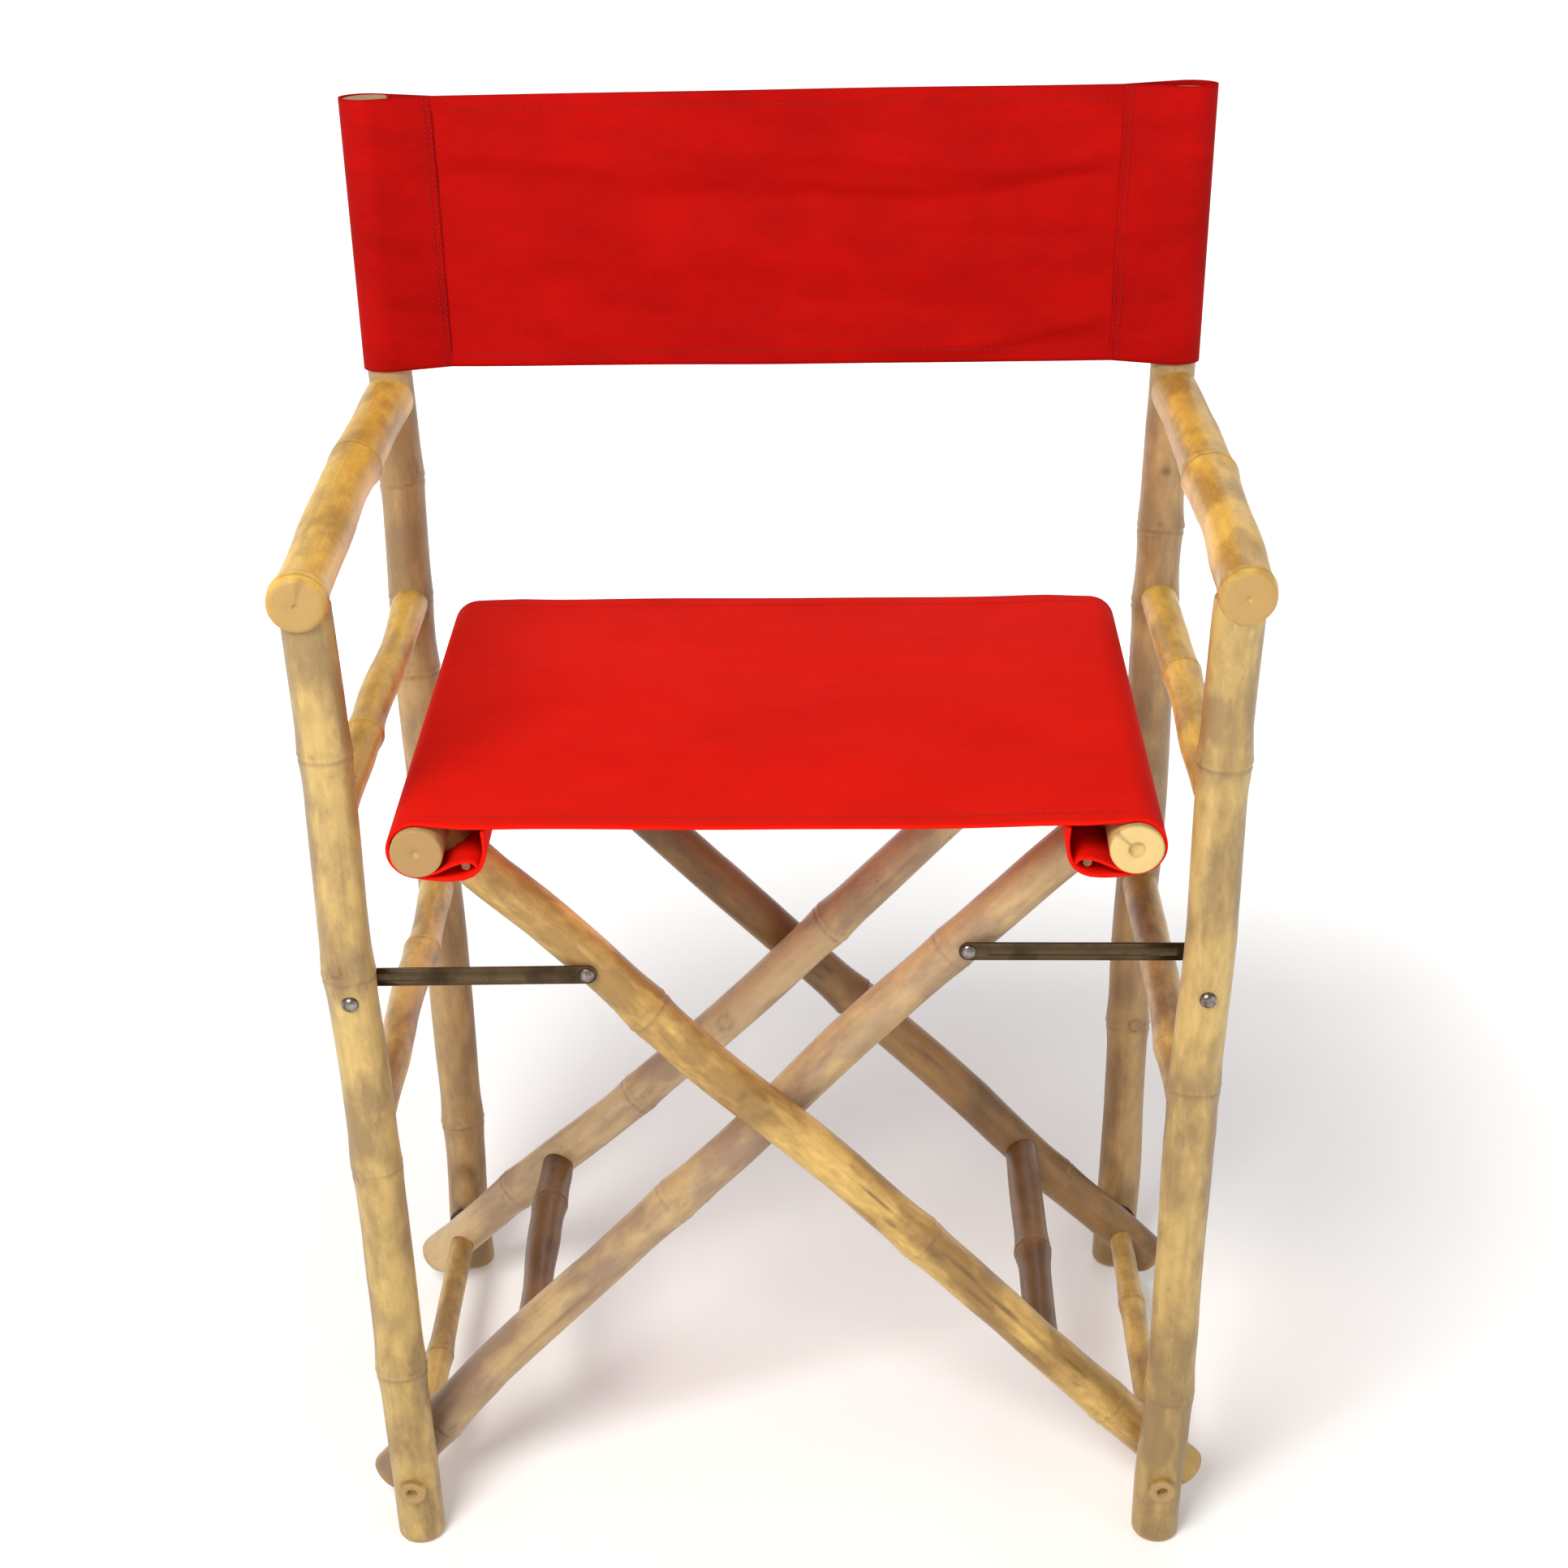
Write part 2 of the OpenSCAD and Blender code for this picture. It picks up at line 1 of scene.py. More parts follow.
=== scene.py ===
# %% [markdown]
# # A folding director chair in bamboo and red canvas
# The chair is two bamboo side frames joined by two crossing frames, with a canvas seat and a
# canvas back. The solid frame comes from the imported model. This script gives every pole its
# growth, every cloth its weave and every piece of metal its finish, and then sets light and camera.

# %% Load the frame
import json
import math

import bmesh
import bpy
import numpy as np
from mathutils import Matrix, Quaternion, Vector


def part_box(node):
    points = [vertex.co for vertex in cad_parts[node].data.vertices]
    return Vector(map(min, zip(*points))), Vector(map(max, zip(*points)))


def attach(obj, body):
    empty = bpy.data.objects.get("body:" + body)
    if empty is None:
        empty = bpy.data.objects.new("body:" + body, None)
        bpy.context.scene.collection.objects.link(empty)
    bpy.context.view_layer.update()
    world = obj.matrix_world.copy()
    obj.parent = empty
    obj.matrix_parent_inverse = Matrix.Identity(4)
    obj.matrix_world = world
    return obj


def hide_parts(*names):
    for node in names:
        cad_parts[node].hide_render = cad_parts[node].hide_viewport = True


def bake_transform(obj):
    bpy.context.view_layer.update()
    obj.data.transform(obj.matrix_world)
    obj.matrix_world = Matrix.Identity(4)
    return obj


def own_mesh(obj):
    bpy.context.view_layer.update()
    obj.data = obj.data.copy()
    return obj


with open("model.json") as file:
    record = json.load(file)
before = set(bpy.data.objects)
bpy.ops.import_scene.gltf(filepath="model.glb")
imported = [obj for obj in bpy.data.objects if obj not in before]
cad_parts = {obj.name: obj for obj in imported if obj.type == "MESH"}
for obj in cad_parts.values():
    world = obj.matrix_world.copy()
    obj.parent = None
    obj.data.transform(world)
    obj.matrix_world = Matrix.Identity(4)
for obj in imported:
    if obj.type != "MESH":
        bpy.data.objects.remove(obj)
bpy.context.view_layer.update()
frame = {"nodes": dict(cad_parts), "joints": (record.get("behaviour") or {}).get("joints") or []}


def placed(name, data):
    """A new object in the scene for a mesh, a lamp or a camera."""
    item = bpy.data.objects.new(name, data)
    bpy.context.scene.collection.objects.link(item)
    return item



# %% [markdown]
# ## Where everything stands
# A maker works from a few sizes. The hinges tell where the foot axles and the crossing are, the
# boxes of single pieces tell where the front legs and seat rails are, and the rest is given.

# %% Driving places, in metres
pivots = {joint["name"]: Vector(joint["pos_m"]) for joint in frame["joints"]}
FRONT_Y = sum(corner.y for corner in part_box("front_leg_left")) / 2
LEAN = math.radians(1.66)
POST_LEAN = math.radians(4.57)
FOOT_HALF = 0.252
POST_FOOT_Y = FRONT_Y + 0.313
ARM_Z = 0.696
POST_TOP = 0.900
POST_R = 0.016
AXLE = Vector((pivots["right_foot"].x, 0, pivots["right_foot"].z))
CROSS_Z = pivots["crossing"].z
rail_low, rail_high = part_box("seat_rail_right")
RAIL = (rail_low + rail_high) / 2
RAIL_R = (rail_high.z - rail_low.z) / 2
print("seat rails at", round(RAIL.x, 4), round(RAIL.z, 4), "radius", round(RAIL_R, 4))


def side_point(side, y, height):
    """A point in the leaning plane of one side frame, at a distance up that plane."""
    return Vector((side * (FOOT_HALF + height * math.sin(LEAN)), y, height * math.cos(LEAN)))


def post_point(side, height):
    """A point on a rear post's centre line, at a distance up the side frame."""
    return side_point(side, POST_FOOT_Y + height * math.tan(POST_LEAN), height)


# %% [markdown]
# ## Camera
# The camera stands a little above head height in front of the chair and looks down at it. The
# lens is long, so the side frames lean apart only slightly in the picture.

# %% Place the camera
CAMERA_AT = Vector((0.0368, FRONT_Y - 1.4905, 1.2983))
CAMERA_YAW, CAMERA_PITCH, CAMERA_ROLL = math.radians(-1.2), math.radians(26.0), math.radians(0.9)
camera_data = bpy.data.cameras.new("camera")
camera_data.sensor_width = 36.0
camera_data.lens = 63.6
camera = placed("camera", camera_data)
forward = Vector((math.sin(CAMERA_YAW) * math.cos(CAMERA_PITCH),
                  math.cos(CAMERA_YAW) * math.cos(CAMERA_PITCH), -math.sin(CAMERA_PITCH)))
camera.rotation_mode = "QUATERNION"
level = forward.to_track_quat("-Z", "Y")
camera.rotation_quaternion = level @ Quaternion((0, 0, -1), CAMERA_ROLL)
camera.location = CAMERA_AT
bpy.context.scene.camera = camera
print("camera", round(camera_data.lens, 1), "mm, looking down", round(math.degrees(CAMERA_PITCH)), "degrees")

# %% [markdown]
# ## Node helpers
# Shader trees are long to write by hand. A few small helpers add, join and mix nodes, so that
# each finish below reads like its recipe.


# %% Helpers for shader trees
def add(tree, kind, **settings):
    """Adds a node; a setting named after an input sets that input's value."""
    node = tree.nodes.new(kind)
    for name, value in settings.items():
        if hasattr(node, name):
            setattr(node, name, value)
        else:
            node.inputs[name.replace("_", " ")].default_value = value
    return node


def join(tree, source, target):
    tree.links.new(source, target)


def ramp(tree, source, stops):
    """A colour ramp fed by source, from (position, colour) stops."""
    node = tree.nodes.new("ShaderNodeValToRGB")
    elements = node.color_ramp.elements
    while len(elements) < len(stops):
        elements.new(0.5)
    for element, (position, colour) in zip(elements, stops):
        element.position = position
        element.color = (*colour, 1.0)
    join(tree, source, node.inputs["Fac"])
    return node.outputs["Color"]


def mask(tree, source, low, high):
    """Black up to low, white from high on."""
    return ramp(tree, source, [(low, (0, 0, 0)), (high, (1, 1, 1))])


def mix(tree, factor, first, second):
    """Mixes two colours; each argument is a socket or a plain value."""
    node = tree.nodes.new("ShaderNodeMix")
    node.data_type = "RGBA"
    for socket, value in ((node.inputs[0], factor), (node.inputs[6], first), (node.inputs[7], second)):
        if isinstance(value, bpy.types.NodeSocket):
            join(tree, value, socket)
        else:
            socket.default_value = value
    return node.outputs[2]


def calculate(tree, operation, *values):
    """A Math node; each value is a socket or a number."""
    node = tree.nodes.new("ShaderNodeMath")
    node.operation = operation
    for socket, value in zip(node.inputs, values):
        if isinstance(value, bpy.types.NodeSocket):
            join(tree, value, socket)
        else:
            socket.default_value = value
    return node.outputs[0]


def noise(tree, vector, scale, detail=3.0, roughness=0.5):
    """Noise with one scale, or with a scale for each way of the coordinates."""
    if isinstance(scale, tuple):
        stretch = add(tree, "ShaderNodeMapping", Scale=scale)
        join(tree, vector, stretch.inputs["Vector"])
        vector, scale = stretch.outputs["Vector"], 1.0
    node = add(tree, "ShaderNodeTexNoise", Scale=scale, Detail=detail, Roughness=roughness)
    join(tree, vector, node.inputs["Vector"])
    return node.outputs["Fac"]


def new_group(name, inputs, outputs):
    """A shader node group with named sockets: (tree, input node, output node)."""
    tree = bpy.data.node_groups.new(name, "ShaderNodeTree")
    for socket, kind, value in inputs:
        made = tree.interface.new_socket(socket, in_out="INPUT", socket_type=kind)
        made.default_value = value
    for socket, kind in outputs:
        tree.interface.new_socket(socket, in_out="OUTPUT", socket_type=kind)
    return tree, tree.nodes.new("NodeGroupInput"), tree.nodes.new("NodeGroupOutput")


SKIN_OUTPUTS = [("Color", "NodeSocketColor"), ("Roughness", "NodeSocketFloat"),
                ("Height", "NodeSocketFloat")]


def new_material(name):
    material = bpy.data.materials.new(name)
    material.use_nodes = True
    return material, material.node_tree, material.node_tree.nodes["Principled BSDF"]


def grouped_material(name, group, bump_strength, bump_distance, settings, **values):
    """A material whose colour, roughness and height come from a group with these values."""
    material, tree, shader = new_material(name)
    node = tree.nodes.new("ShaderNodeGroup")
    node.node_tree = group
    for key, value in values.items():
        node.inputs[key.replace("_", " ")].default_value = value
    join(tree, node.outputs["Color"], shader.inputs["Base Color"])
    join(tree, node.outputs["Roughness"], shader.inputs["Roughness"])
    bump = add(tree, "ShaderNodeBump", Strength=bump_strength, Distance=bump_distance)
    join(tree, node.outputs["Height"], bump.inputs["Height"])
    join(tree, bump.outputs["Normal"], shader.inputs["Normal"])
    for key, value in settings.items():
        shader.inputs[key].default_value = value
    return material


print("shader helpers ready")

# %% [markdown]
# ## Bamboo
# A bamboo pole is straw yellow with fine fibres running along it, clouds of grey and brown, and
# a dark line in the groove of each growth ring. Object coordinates can't follow poles that point
# in many directions, so each pole carries its own "grain" coordinates: across, across, along.
# The same group colours pale frames, browner crossing legs and golden armrests.


# %% Bamboo group
def build_bamboo_group():
    tree, given, result = new_group(
        "Bamboo skin",
        [("Light", "NodeSocketColor", (0.6, 0.4, 0.2, 1)), ("Deep", "NodeSocketColor", (0.3, 0.2, 0.1, 1)),
         ("Cloud", "NodeSocketColor", (0.3, 0.25, 0.2, 1)), ("Cloud Amount", "NodeSocketFloat", 0.4),
         ("End", "NodeSocketColor", (0.46, 0.31, 0.135, 1))], SKIN_OUTPUTS)
    grain = add(tree, "ShaderNodeAttribute", attribute_name="grain").outputs["Vector"]
    ring, mark, cut, dip = (add(tree, "ShaderNodeAttribute", attribute_name=key).outputs["Fac"]
                            for key in ("ring", "mark", "cut", "dip"))

    fibres = noise(tree, grain, (900, 900, 9), 4.0, 0.6)
    streaks = noise(tree, grain, (150, 150, 3), 3.0, 0.55)
    clouds = noise(tree, grain, (34, 34, 15), 5.0, 0.62)
    specks = noise(tree, grain, (420, 420, 160), 2.0, 0.5)

    streak_mask = mask(tree, streaks, 0.35, 0.68)
    fibre_mask = mask(tree, fibres, 0.40, 0.72)
    cloud_mask = mask(tree, clouds, 0.43, 0.60)
    mottle = noise(tree, grain, (130, 130, 70), 4.0, 0.65)
    mottle_mask = mask(tree, mottle, 0.42, 0.62)
    gaps = noise(tree, grain, (90, 90, 40))
    broken = ramp(tree, gaps, [(0.38, (0.2, 0.2, 0.2)), (0.6, (1, 1, 1))])
    speck_mask = mask(tree, specks, 0.70, 0.76)

    colour = mix(tree, calculate(tree, "MULTIPLY", streak_mask, 0.38), given.outputs["Light"],
                 given.outputs["Deep"])
    colour = mix(tree, calculate(tree, "MULTIPLY", fibre_mask, 0.22), colour, given.outputs["Deep"])
    cloudy = calculate(tree, "MULTIPLY", cloud_mask, given.outputs["Cloud Amount"])
    colour = mix(tree, cloudy, colour, given.outputs["Cloud"])
    stain = calculate(tree, "MULTIPLY", mottle_mask, 0.30)
    colour = mix(tree, stain, colour, given.outputs["Deep"])
    # Painted shade: the dips of the lumps are darkened towards the cloud colour.
    colour = mix(tree, calculate(tree, "MULTIPLY", dip, 0.55), colour, given.outputs["Cloud"])
    colour = mix(tree, calculate(tree, "MULTIPLY", speck_mask, 0.45), colour, (0.16, 0.09, 0.05, 1))
    ring_dark = calculate(tree, "MULTIPLY", calculate(tree, "MULTIPLY", ring, 0.50), broken)
    colour = mix(tree, ring_dark, colour, (0.19, 0.105, 0.05, 1))

    end_grain = noise(tree, grain, (1500, 1500, 1500), 2.0, 0.5)
    end_colour = ramp(tree, end_grain, [(0.35, (0.38, 0.24, 0.10)), (0.65, (0.54, 0.37, 0.17))])
    end_tone = mix(tree, calculate(tree, "MULTIPLY", end_grain, 0.30), given.outputs["End"], end_colour)
    colour = mix(tree, cut, colour, end_tone)
    marked = calculate(tree, "MULTIPLY", mark, calculate(tree, "MULTIPLY_ADD", broken, 0.55, 0.45))
    colour = mix(tree, marked, colour, (0.085, 0.036, 0.013, 1))

    rough = calculate(tree, "MULTIPLY_ADD", streak_mask, 0.12, 0.36)
    rough = calculate(tree, "MULTIPLY_ADD", cut, 0.35, rough)
    height = calculate(tree, "ADD", calculate(tree, "MULTIPLY", fibres, 0.5),
                       calculate(tree, "MULTIPLY", clouds, 0.3))
    join(tree, colour, result.inputs["Color"])
    join(tree, rough, result.inputs["Roughness"])
    join(tree, height, result.inputs["Height"])
    return tree


bamboo_group = build_bamboo_group()


def bamboo_material(name, light, deep, cloud, cloud_amount, end=(0.36, 0.23, 0.090)):
    waxed = {"Coat Weight": 0.10, "Coat Roughness": 0.28, "Specular IOR Level": 0.35}
    return grouped_material(name, bamboo_group, 0.45, 0.0008, waxed, Light=(*light, 1), Deep=(*deep, 1),
                            Cloud=(*cloud, 1), Cloud_Amount=cloud_amount, End=(*end, 1))


PALE = bamboo_material("Pale bamboo", (0.525, 0.36, 0.120), (0.32, 0.20, 0.058),
                       (0.20, 0.122, 0.053), 0.80)
# The rear posts' tan finish is a darker copy of the pale cane: painted shade for posts that stand in shade.
SHADED_TAN = bamboo_material("Tan bamboo", (0.45, 0.285, 0.112), (0.27, 0.160, 0.058),
                      (0.17, 0.10, 0.050), 0.66)
STRAW = bamboo_material("Straw bamboo", (0.66, 0.43, 0.125), (0.38, 0.22, 0.052),
                        (0.20, 0.104, 0.030), 0.80)
BROWN = bamboo_material("Brown bamboo", (0.49, 0.34, 0.155), (0.30, 0.19, 0.090),
                        (0.21, 0.130, 0.100), 0.78)
ASHY = bamboo_material("Ashy bamboo", (0.59, 0.43, 0.225), (0.40, 0.265, 0.145),
                       (0.27, 0.175, 0.120), 0.74)
UMBER = bamboo_material("Umber bamboo", (0.29, 0.160, 0.052), (0.17, 0.090, 0.030),
                        (0.10, 0.050, 0.023), 0.66)
SMOKED = bamboo_material("Smoked bamboo", (0.21, 0.102, 0.033), (0.12, 0.056, 0.017),
                         (0.07, 0.031, 0.011), 0.65)
GOLDEN = bamboo_material("Golden bamboo", (0.84, 0.52, 0.092), (0.52, 0.285, 0.042),
                         (0.27, 0.140, 0.034), 0.70, (0.36, 0.215, 0.062))
RAIL_SKIN = {-1: bamboo_material("Rail bamboo, left", (0.60, 0.41, 0.150), (0.38, 0.24, 0.080),
                                 (0.26, 0.165, 0.090), 0.6, (0.31, 0.175, 0.058)),
             1: bamboo_material("Rail bamboo, right", (0.64, 0.46, 0.180), (0.42, 0.27, 0.100),
                                (0.30, 0.19, 0.100), 0.6, (0.60, 0.43, 0.165))}
print("bamboo finishes:", PALE.name, BROWN.name, GOLDEN.name)

# %% [markdown]
# ## How a pole is turned
# A pole is a skin around a path. It could be a curve with a bevel, but growth rings, knots,
# cracks and hollow ends all change its radius, so the skin is worked out ring by ring. More
# rings are spent where the shape changes fast. A slow random swell keeps it from looking turned.

# %% Pole maker
AROUND = 56
STEP = 0.005
TURN = 6.28
PATH_POINTS, WAVE_POINTS = 400, 200


def growth(distance):
    """Radius added near a growth ring: a ridge, the groove below it and a gentle swelling."""
    ridge = 0.0004 * np.exp(-(distance / 0.0018) ** 2)
    sheath = 0.0002 * np.exp(-((distance + 0.0052) / 0.0016) ** 2)
    groove = -0.0004 * np.exp(-((distance + 0.0026) / 0.0012) ** 2)
    swelling = 0.0011 * np.exp(-(distance / 0.013) ** 2)
    return ridge + sheath + groove + swelling


def smooth_random(rng, count, length, wave):
    """A slow random curve between -1 and 1, sampled at count places along length."""
    knots = max(4, int(length / wave) + 3)
    values = rng.uniform(-1, 1, knots)
    at = np.linspace(0, knots - 1.001, count)
    low = at.astype(int)
    share = at - low
    share = share * share * (3 - 2 * share)
    return values[low] * (1 - share) + values[low + 1] * share


def end_profile(r, hollow, depth, soft):
    """(distance in, radius, cut) from the middle of a pole's end out to its skin."""
    face = [(depth, 0.0, 0.6), (depth, hollow, 0.5), (depth * 0.4, hollow + 0.0003, 0.7),
            (0.0004, hollow + 0.0008, 0.95), (0.0, hollow + 0.0016, 1.0)]
    turns = np.radians([0, 20, 40, 60, 75, 90])
    edge = [(soft * (1 - math.cos(a)), r - soft * (1 - math.sin(a)), max(0.0, math.cos(a))) for a in turns]
    return face + edge


def stations(length, rings):
    """Distances along a pole, closer together near its growth rings."""
    plain = np.arange(0.003, length - 0.002, STEP)
    fine = [np.arange(at - 0.010, at + 0.008, 0.0009) for at in rings]
    every = np.unique(np.concatenate([plain, *fine]).round(5))
    return every[(every > 0.0025) & (every < length - 0.0025)]


def path_frames(points):
    """Centre, side and other unit vectors along a polyline, without twist."""
    tangents = np.gradient(points, axis=0)
    tangents /= np.linalg.norm(tangents, axis=1)[:, None]
    up = np.array([0.0, -1.0, 0.35])
    sides = np.cross(tangents, up)
    sides /= np.linalg.norm(sides, axis=1)[:, None]
    return tangents, sides, np.cross(sides, tangents)


ROUND_KNOT = 0.95
KNOBS_PER_METRE = 130


def mark_mask(along, angle, marks, r):
    """How strongly each skin point is marked, and how deep: marks are knots, scars, cracks and painted shade.
    """
    strength = np.zeros_like(along)
    depth = np.zeros_like(along)
    for at, turn, long, wide, amount, deep in marks:
        across = np.arctan2(np.sin(angle - turn), np.cos(angle - turn)) * r
        reach = ((along - at) / long) ** 2 + (across / wide) ** 2
        spot = np.exp(-reach)
        rim = np.exp(-((np.sqrt(reach) - 1.15) / 0.33) ** 2) + 0.5 * np.exp(-reach / 0.06)
        shade = rim * ROUND_KNOT if long < 3 * wide and long > 0.003 else spot * 1.3
        strength = np.maximum(strength, amount * np.clip(shade, 0, 1))
        depth += deep * spot
    return strength, depth


def knobs(rng, along, angle, r, height, calm_at):
    """Low lumps and dips all over a cane, fading out where another cane is pinned to it."""
    field = np.zeros_like(along)
    length = along.max()
    for _ in range(int(length * KNOBS_PER_METRE)):
        at = rng.uniform(0, length)
        turn = rng.uniform(0, 2 * math.pi)
        across = np.arctan2(np.sin(angle - turn), np.cos(angle - turn)) * r
        long = rng.uniform(0.006, 0.017)
        wide = rng.uniform(0.004, 0.010)
        field += rng.uniform(-1, 1) * np.exp(-((along - at) / long) ** 2 - (across / wide) ** 2)
    field = np.clip(field, -1.2, 1.0)
    if calm_at is not None:
        field *= 1 - np.exp(-((along - calm_at) / 0.035) ** 2)
    # The second value marks the dips, which the bamboo finish darkens as painted shade.
    return height * field, np.clip(-field, 0, 1)


def buds(rng, rings, r):
    """Small scars where a cane grew twigs, close above its growth rings."""
    spots = []
    for at in rings:
        for _ in range(rng.integers(2, 5)):
            turn = rng.uniform(0.3, 2.8)
            spots.append((at + rng.uniform(-0.012, 0.020), turn, rng.uniform(0.0015, 0.005),
                          rng.uniform(0.0012, 0.003), rng.uniform(0.12, 0.4), rng.uniform(-0.0003, 0.0008)))
    return spots


PITH = (0.0012, 0.0008, 0.0016)


def make_pole(name, path, r, rings=(), marks=(), start=PITH, end=PITH, seed=1, sway=(0.0016, 0.0016),
              swell=0.0009, trim=0.0003, calm_back=0.0, knobbly=0.00045, calm_at=None):
    """Skin around path, a function from 0..1 to a point.

    rings are distances of growth rings, marks are (distance, turn, length, width, darkness, depth)
    of knots and cracks, and of painted shade, and start and end are (depth, radius, soft edge) of the
    cut ends. sway and swell bend and thicken the pole, trim thins it, calm_back keeps its rear side
    smooth, and knobbly sets the height of its lumps, which fade out at calm_at; the lumps' dips are
    darkened as painted shade.
    """
    rng = np.random.default_rng(seed)
    fine = np.array([path(t) for t in np.linspace(0, 1, PATH_POINTS)], float)
    steps = np.linalg.norm(np.diff(fine, axis=0), axis=1)
    travelled = np.concatenate([[0], np.cumsum(steps)])
    length = travelled[-1]
    body = stations(length, rings)
    first = end_profile(r, start[1], start[0], start[2])
    last = end_profile(r, end[1], end[0], end[2])
    body = body[(body > start[2] + 0.001) & (body < length - end[2] - 0.001)]
    marks = [*marks, *buds(rng, rings, r)]
    along = np.concatenate([[p[0] for p in first], body, [length - p[0] for p in reversed(last)]])
    radius = np.concatenate([[p[1] for p in first], np.full(len(body), r), [p[1] for p in reversed(last)]])
    cut = np.concatenate([[p[2] for p in first], np.zeros(len(body)), [p[2] for p in reversed(last)]])
    skin = np.clip((radius - r * 0.9) / (r * 0.1), 0, 1)
    count = len(along)

    centre = np.stack([np.interp(along, travelled, fine[:, axis]) for axis in range(3)], 1)
    tangents, sides, others = path_frames(fine)
    side = np.stack([np.interp(along, travelled, sides[:, axis]) for axis in range(3)], 1)
    other = np.stack([np.interp(along, travelled, others[:, axis]) for axis in range(3)], 1)

    def wander(amount, wave):
        """A slow random amount at every station."""
        places = np.linspace(0, length, WAVE_POINTS)
        return amount * np.interp(along, places, smooth_random(rng, WAVE_POINTS, length, wave))

    bulge = wander(swell, 0.09)
    sway_side = wander(sway[0], 0.16)
    sway_other = wander(sway[1], 0.16)
    hold = np.clip(np.minimum(along, length - along) / 0.08, 0, 1)
    centre = centre + side * (sway_side * hold)[:, None] + other * (sway_other * hold)[:, None]

    angle = np.linspace(0, 2 * math.pi, AROUND, endpoint=False)
    a, s = np.meshgrid(angle, along)
    bumps = np.zeros_like(s)
    dark = np.zeros_like(s)
    for at in rings:
        tilt = rng.uniform(0.0004, 0.0014) * np.cos(a - rng.uniform(0, TURN))
        bumps += rng.uniform(0.6, 1.3) * growth(s - at - tilt)
        dark = np.maximum(dark, np.exp(-((s - at - tilt + 0.0026) / 0.0016) ** 2))
        dark = np.maximum(dark, 0.35 * np.exp(-((s - at - tilt - 0.0030) / 0.0030) ** 2))
    lopsided = smooth_random(rng, count, length, 0.05)[:, None]
    uneven = 0.45 * lopsided * np.cos(a + rng.uniform(0, TURN))
    oval = swell * (uneven + 0.3 * np.cos(2 * a + rng.uniform(0, TURN)))
    lumps, dips = knobs(rng, s, a, r, knobbly, calm_at)
    bumps = (bumps + lumps) * (1 - calm_back * np.clip(-np.sin(a), 0, 1))
    strength, depth = mark_mask(s, a, marks, r)
    grown = radius[:, None] + skin[:, None] * (bulge[:, None] + bumps + oval + depth - trim)
    grown = np.maximum(grown, 0.0)
    cos, sin = np.cos(a), np.sin(a)
    points = (centre[:, None, :] + (grown * cos)[..., None] * side[:, None, :]
              + (grown * sin)[..., None] * other[:, None, :])
    offset = rng.uniform(0, 30)
    grain = np.stack([grown * cos + offset * 0.01, grown * sin, s + offset], 2)

    vertices = [points[0].mean(0), *points[1:-1].reshape(-1, 3), points[-1].mean(0)]
    rows = count - 2
    faces = [(0, 1 + (k + 1) % AROUND, 1 + k) for k in range(AROUND)]
    for i in range(rows - 1):
        base = 1 + i * AROUND
        for k in range(AROUND):
            n = (k + 1) % AROUND
            faces.append((base + k, base + n, base + AROUND + n, base + AROUND + k))
    top = 1 + (rows - 1) * AROUND
    tip = len(vertices) - 1
    faces += [(top + k, top + (k + 1) % AROUND, tip) for k in range(AROUND)]

    mesh = bpy.data.meshes.new(name)
    mesh.from_pydata([tuple(v) for v in vertices], [], faces)
    # The dips of the lumps are stored for the finish, which darkens them as painted shade.
    spread = {"ring": dark, "mark": strength, "dip": dips, "cut": np.repeat(cut[:, None], AROUND, 1)}
    for key, values in spread.items():
        store(mesh, key, np.concatenate([[values[0, 0]], values[1:-1].ravel(), [values[-1, 0]]]))
    inner = grain[1:-1].reshape(-1, 3)
    store(mesh, "grain", np.concatenate([[grain[0].mean(0)], inner, [grain[-1].mean(0)]]))
    outward(mesh)
    return placed(name, mesh)


def store(mesh, key, values):
    """Keeps a number or a vector on every point of a mesh."""
    values = np.asarray(values, np.float32)
    if values.ndim == 1:
        mesh.attributes.new(key, "FLOAT", "POINT").data.foreach_set("value", values)
    else:
        mesh.attributes.new(key, "FLOAT_VECTOR", "POINT").data.foreach_set("vector", values.ravel())


def outward(mesh):
    """Turns every face outwards and shades the mesh smooth."""
    work = bmesh.new()
    work.from_mesh(mesh)
    bmesh.ops.recalc_face_normals(work, faces=work.faces)
    work.to_mesh(mesh)
    work.free()
    mesh.shade_smooth()


def straight(p, q):
    """A path from p to q."""
    return lambda t: Vector(p).lerp(Vector(q), t)


def finish_piece(piece, material, body, slot, *nodes):
    """Gives a piece its finish, its body and the solids that it stands for."""
    piece.data.materials.clear()
    piece.data.materials.append(material)
    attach(piece, body)
    if nodes:
        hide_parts(*nodes)
    return piece


print("pole skin has", AROUND, "points around")

# %% [markdown]
# ## Side frames
# Each side frame is a front leg, a leaning rear post, a golden armrest and two thinner rails. The
# leg's top is hidden in the armrest and the rails end in the poles, as coped joints do. Growth
# rings sit where each pole happened to have them, so left and right differ.

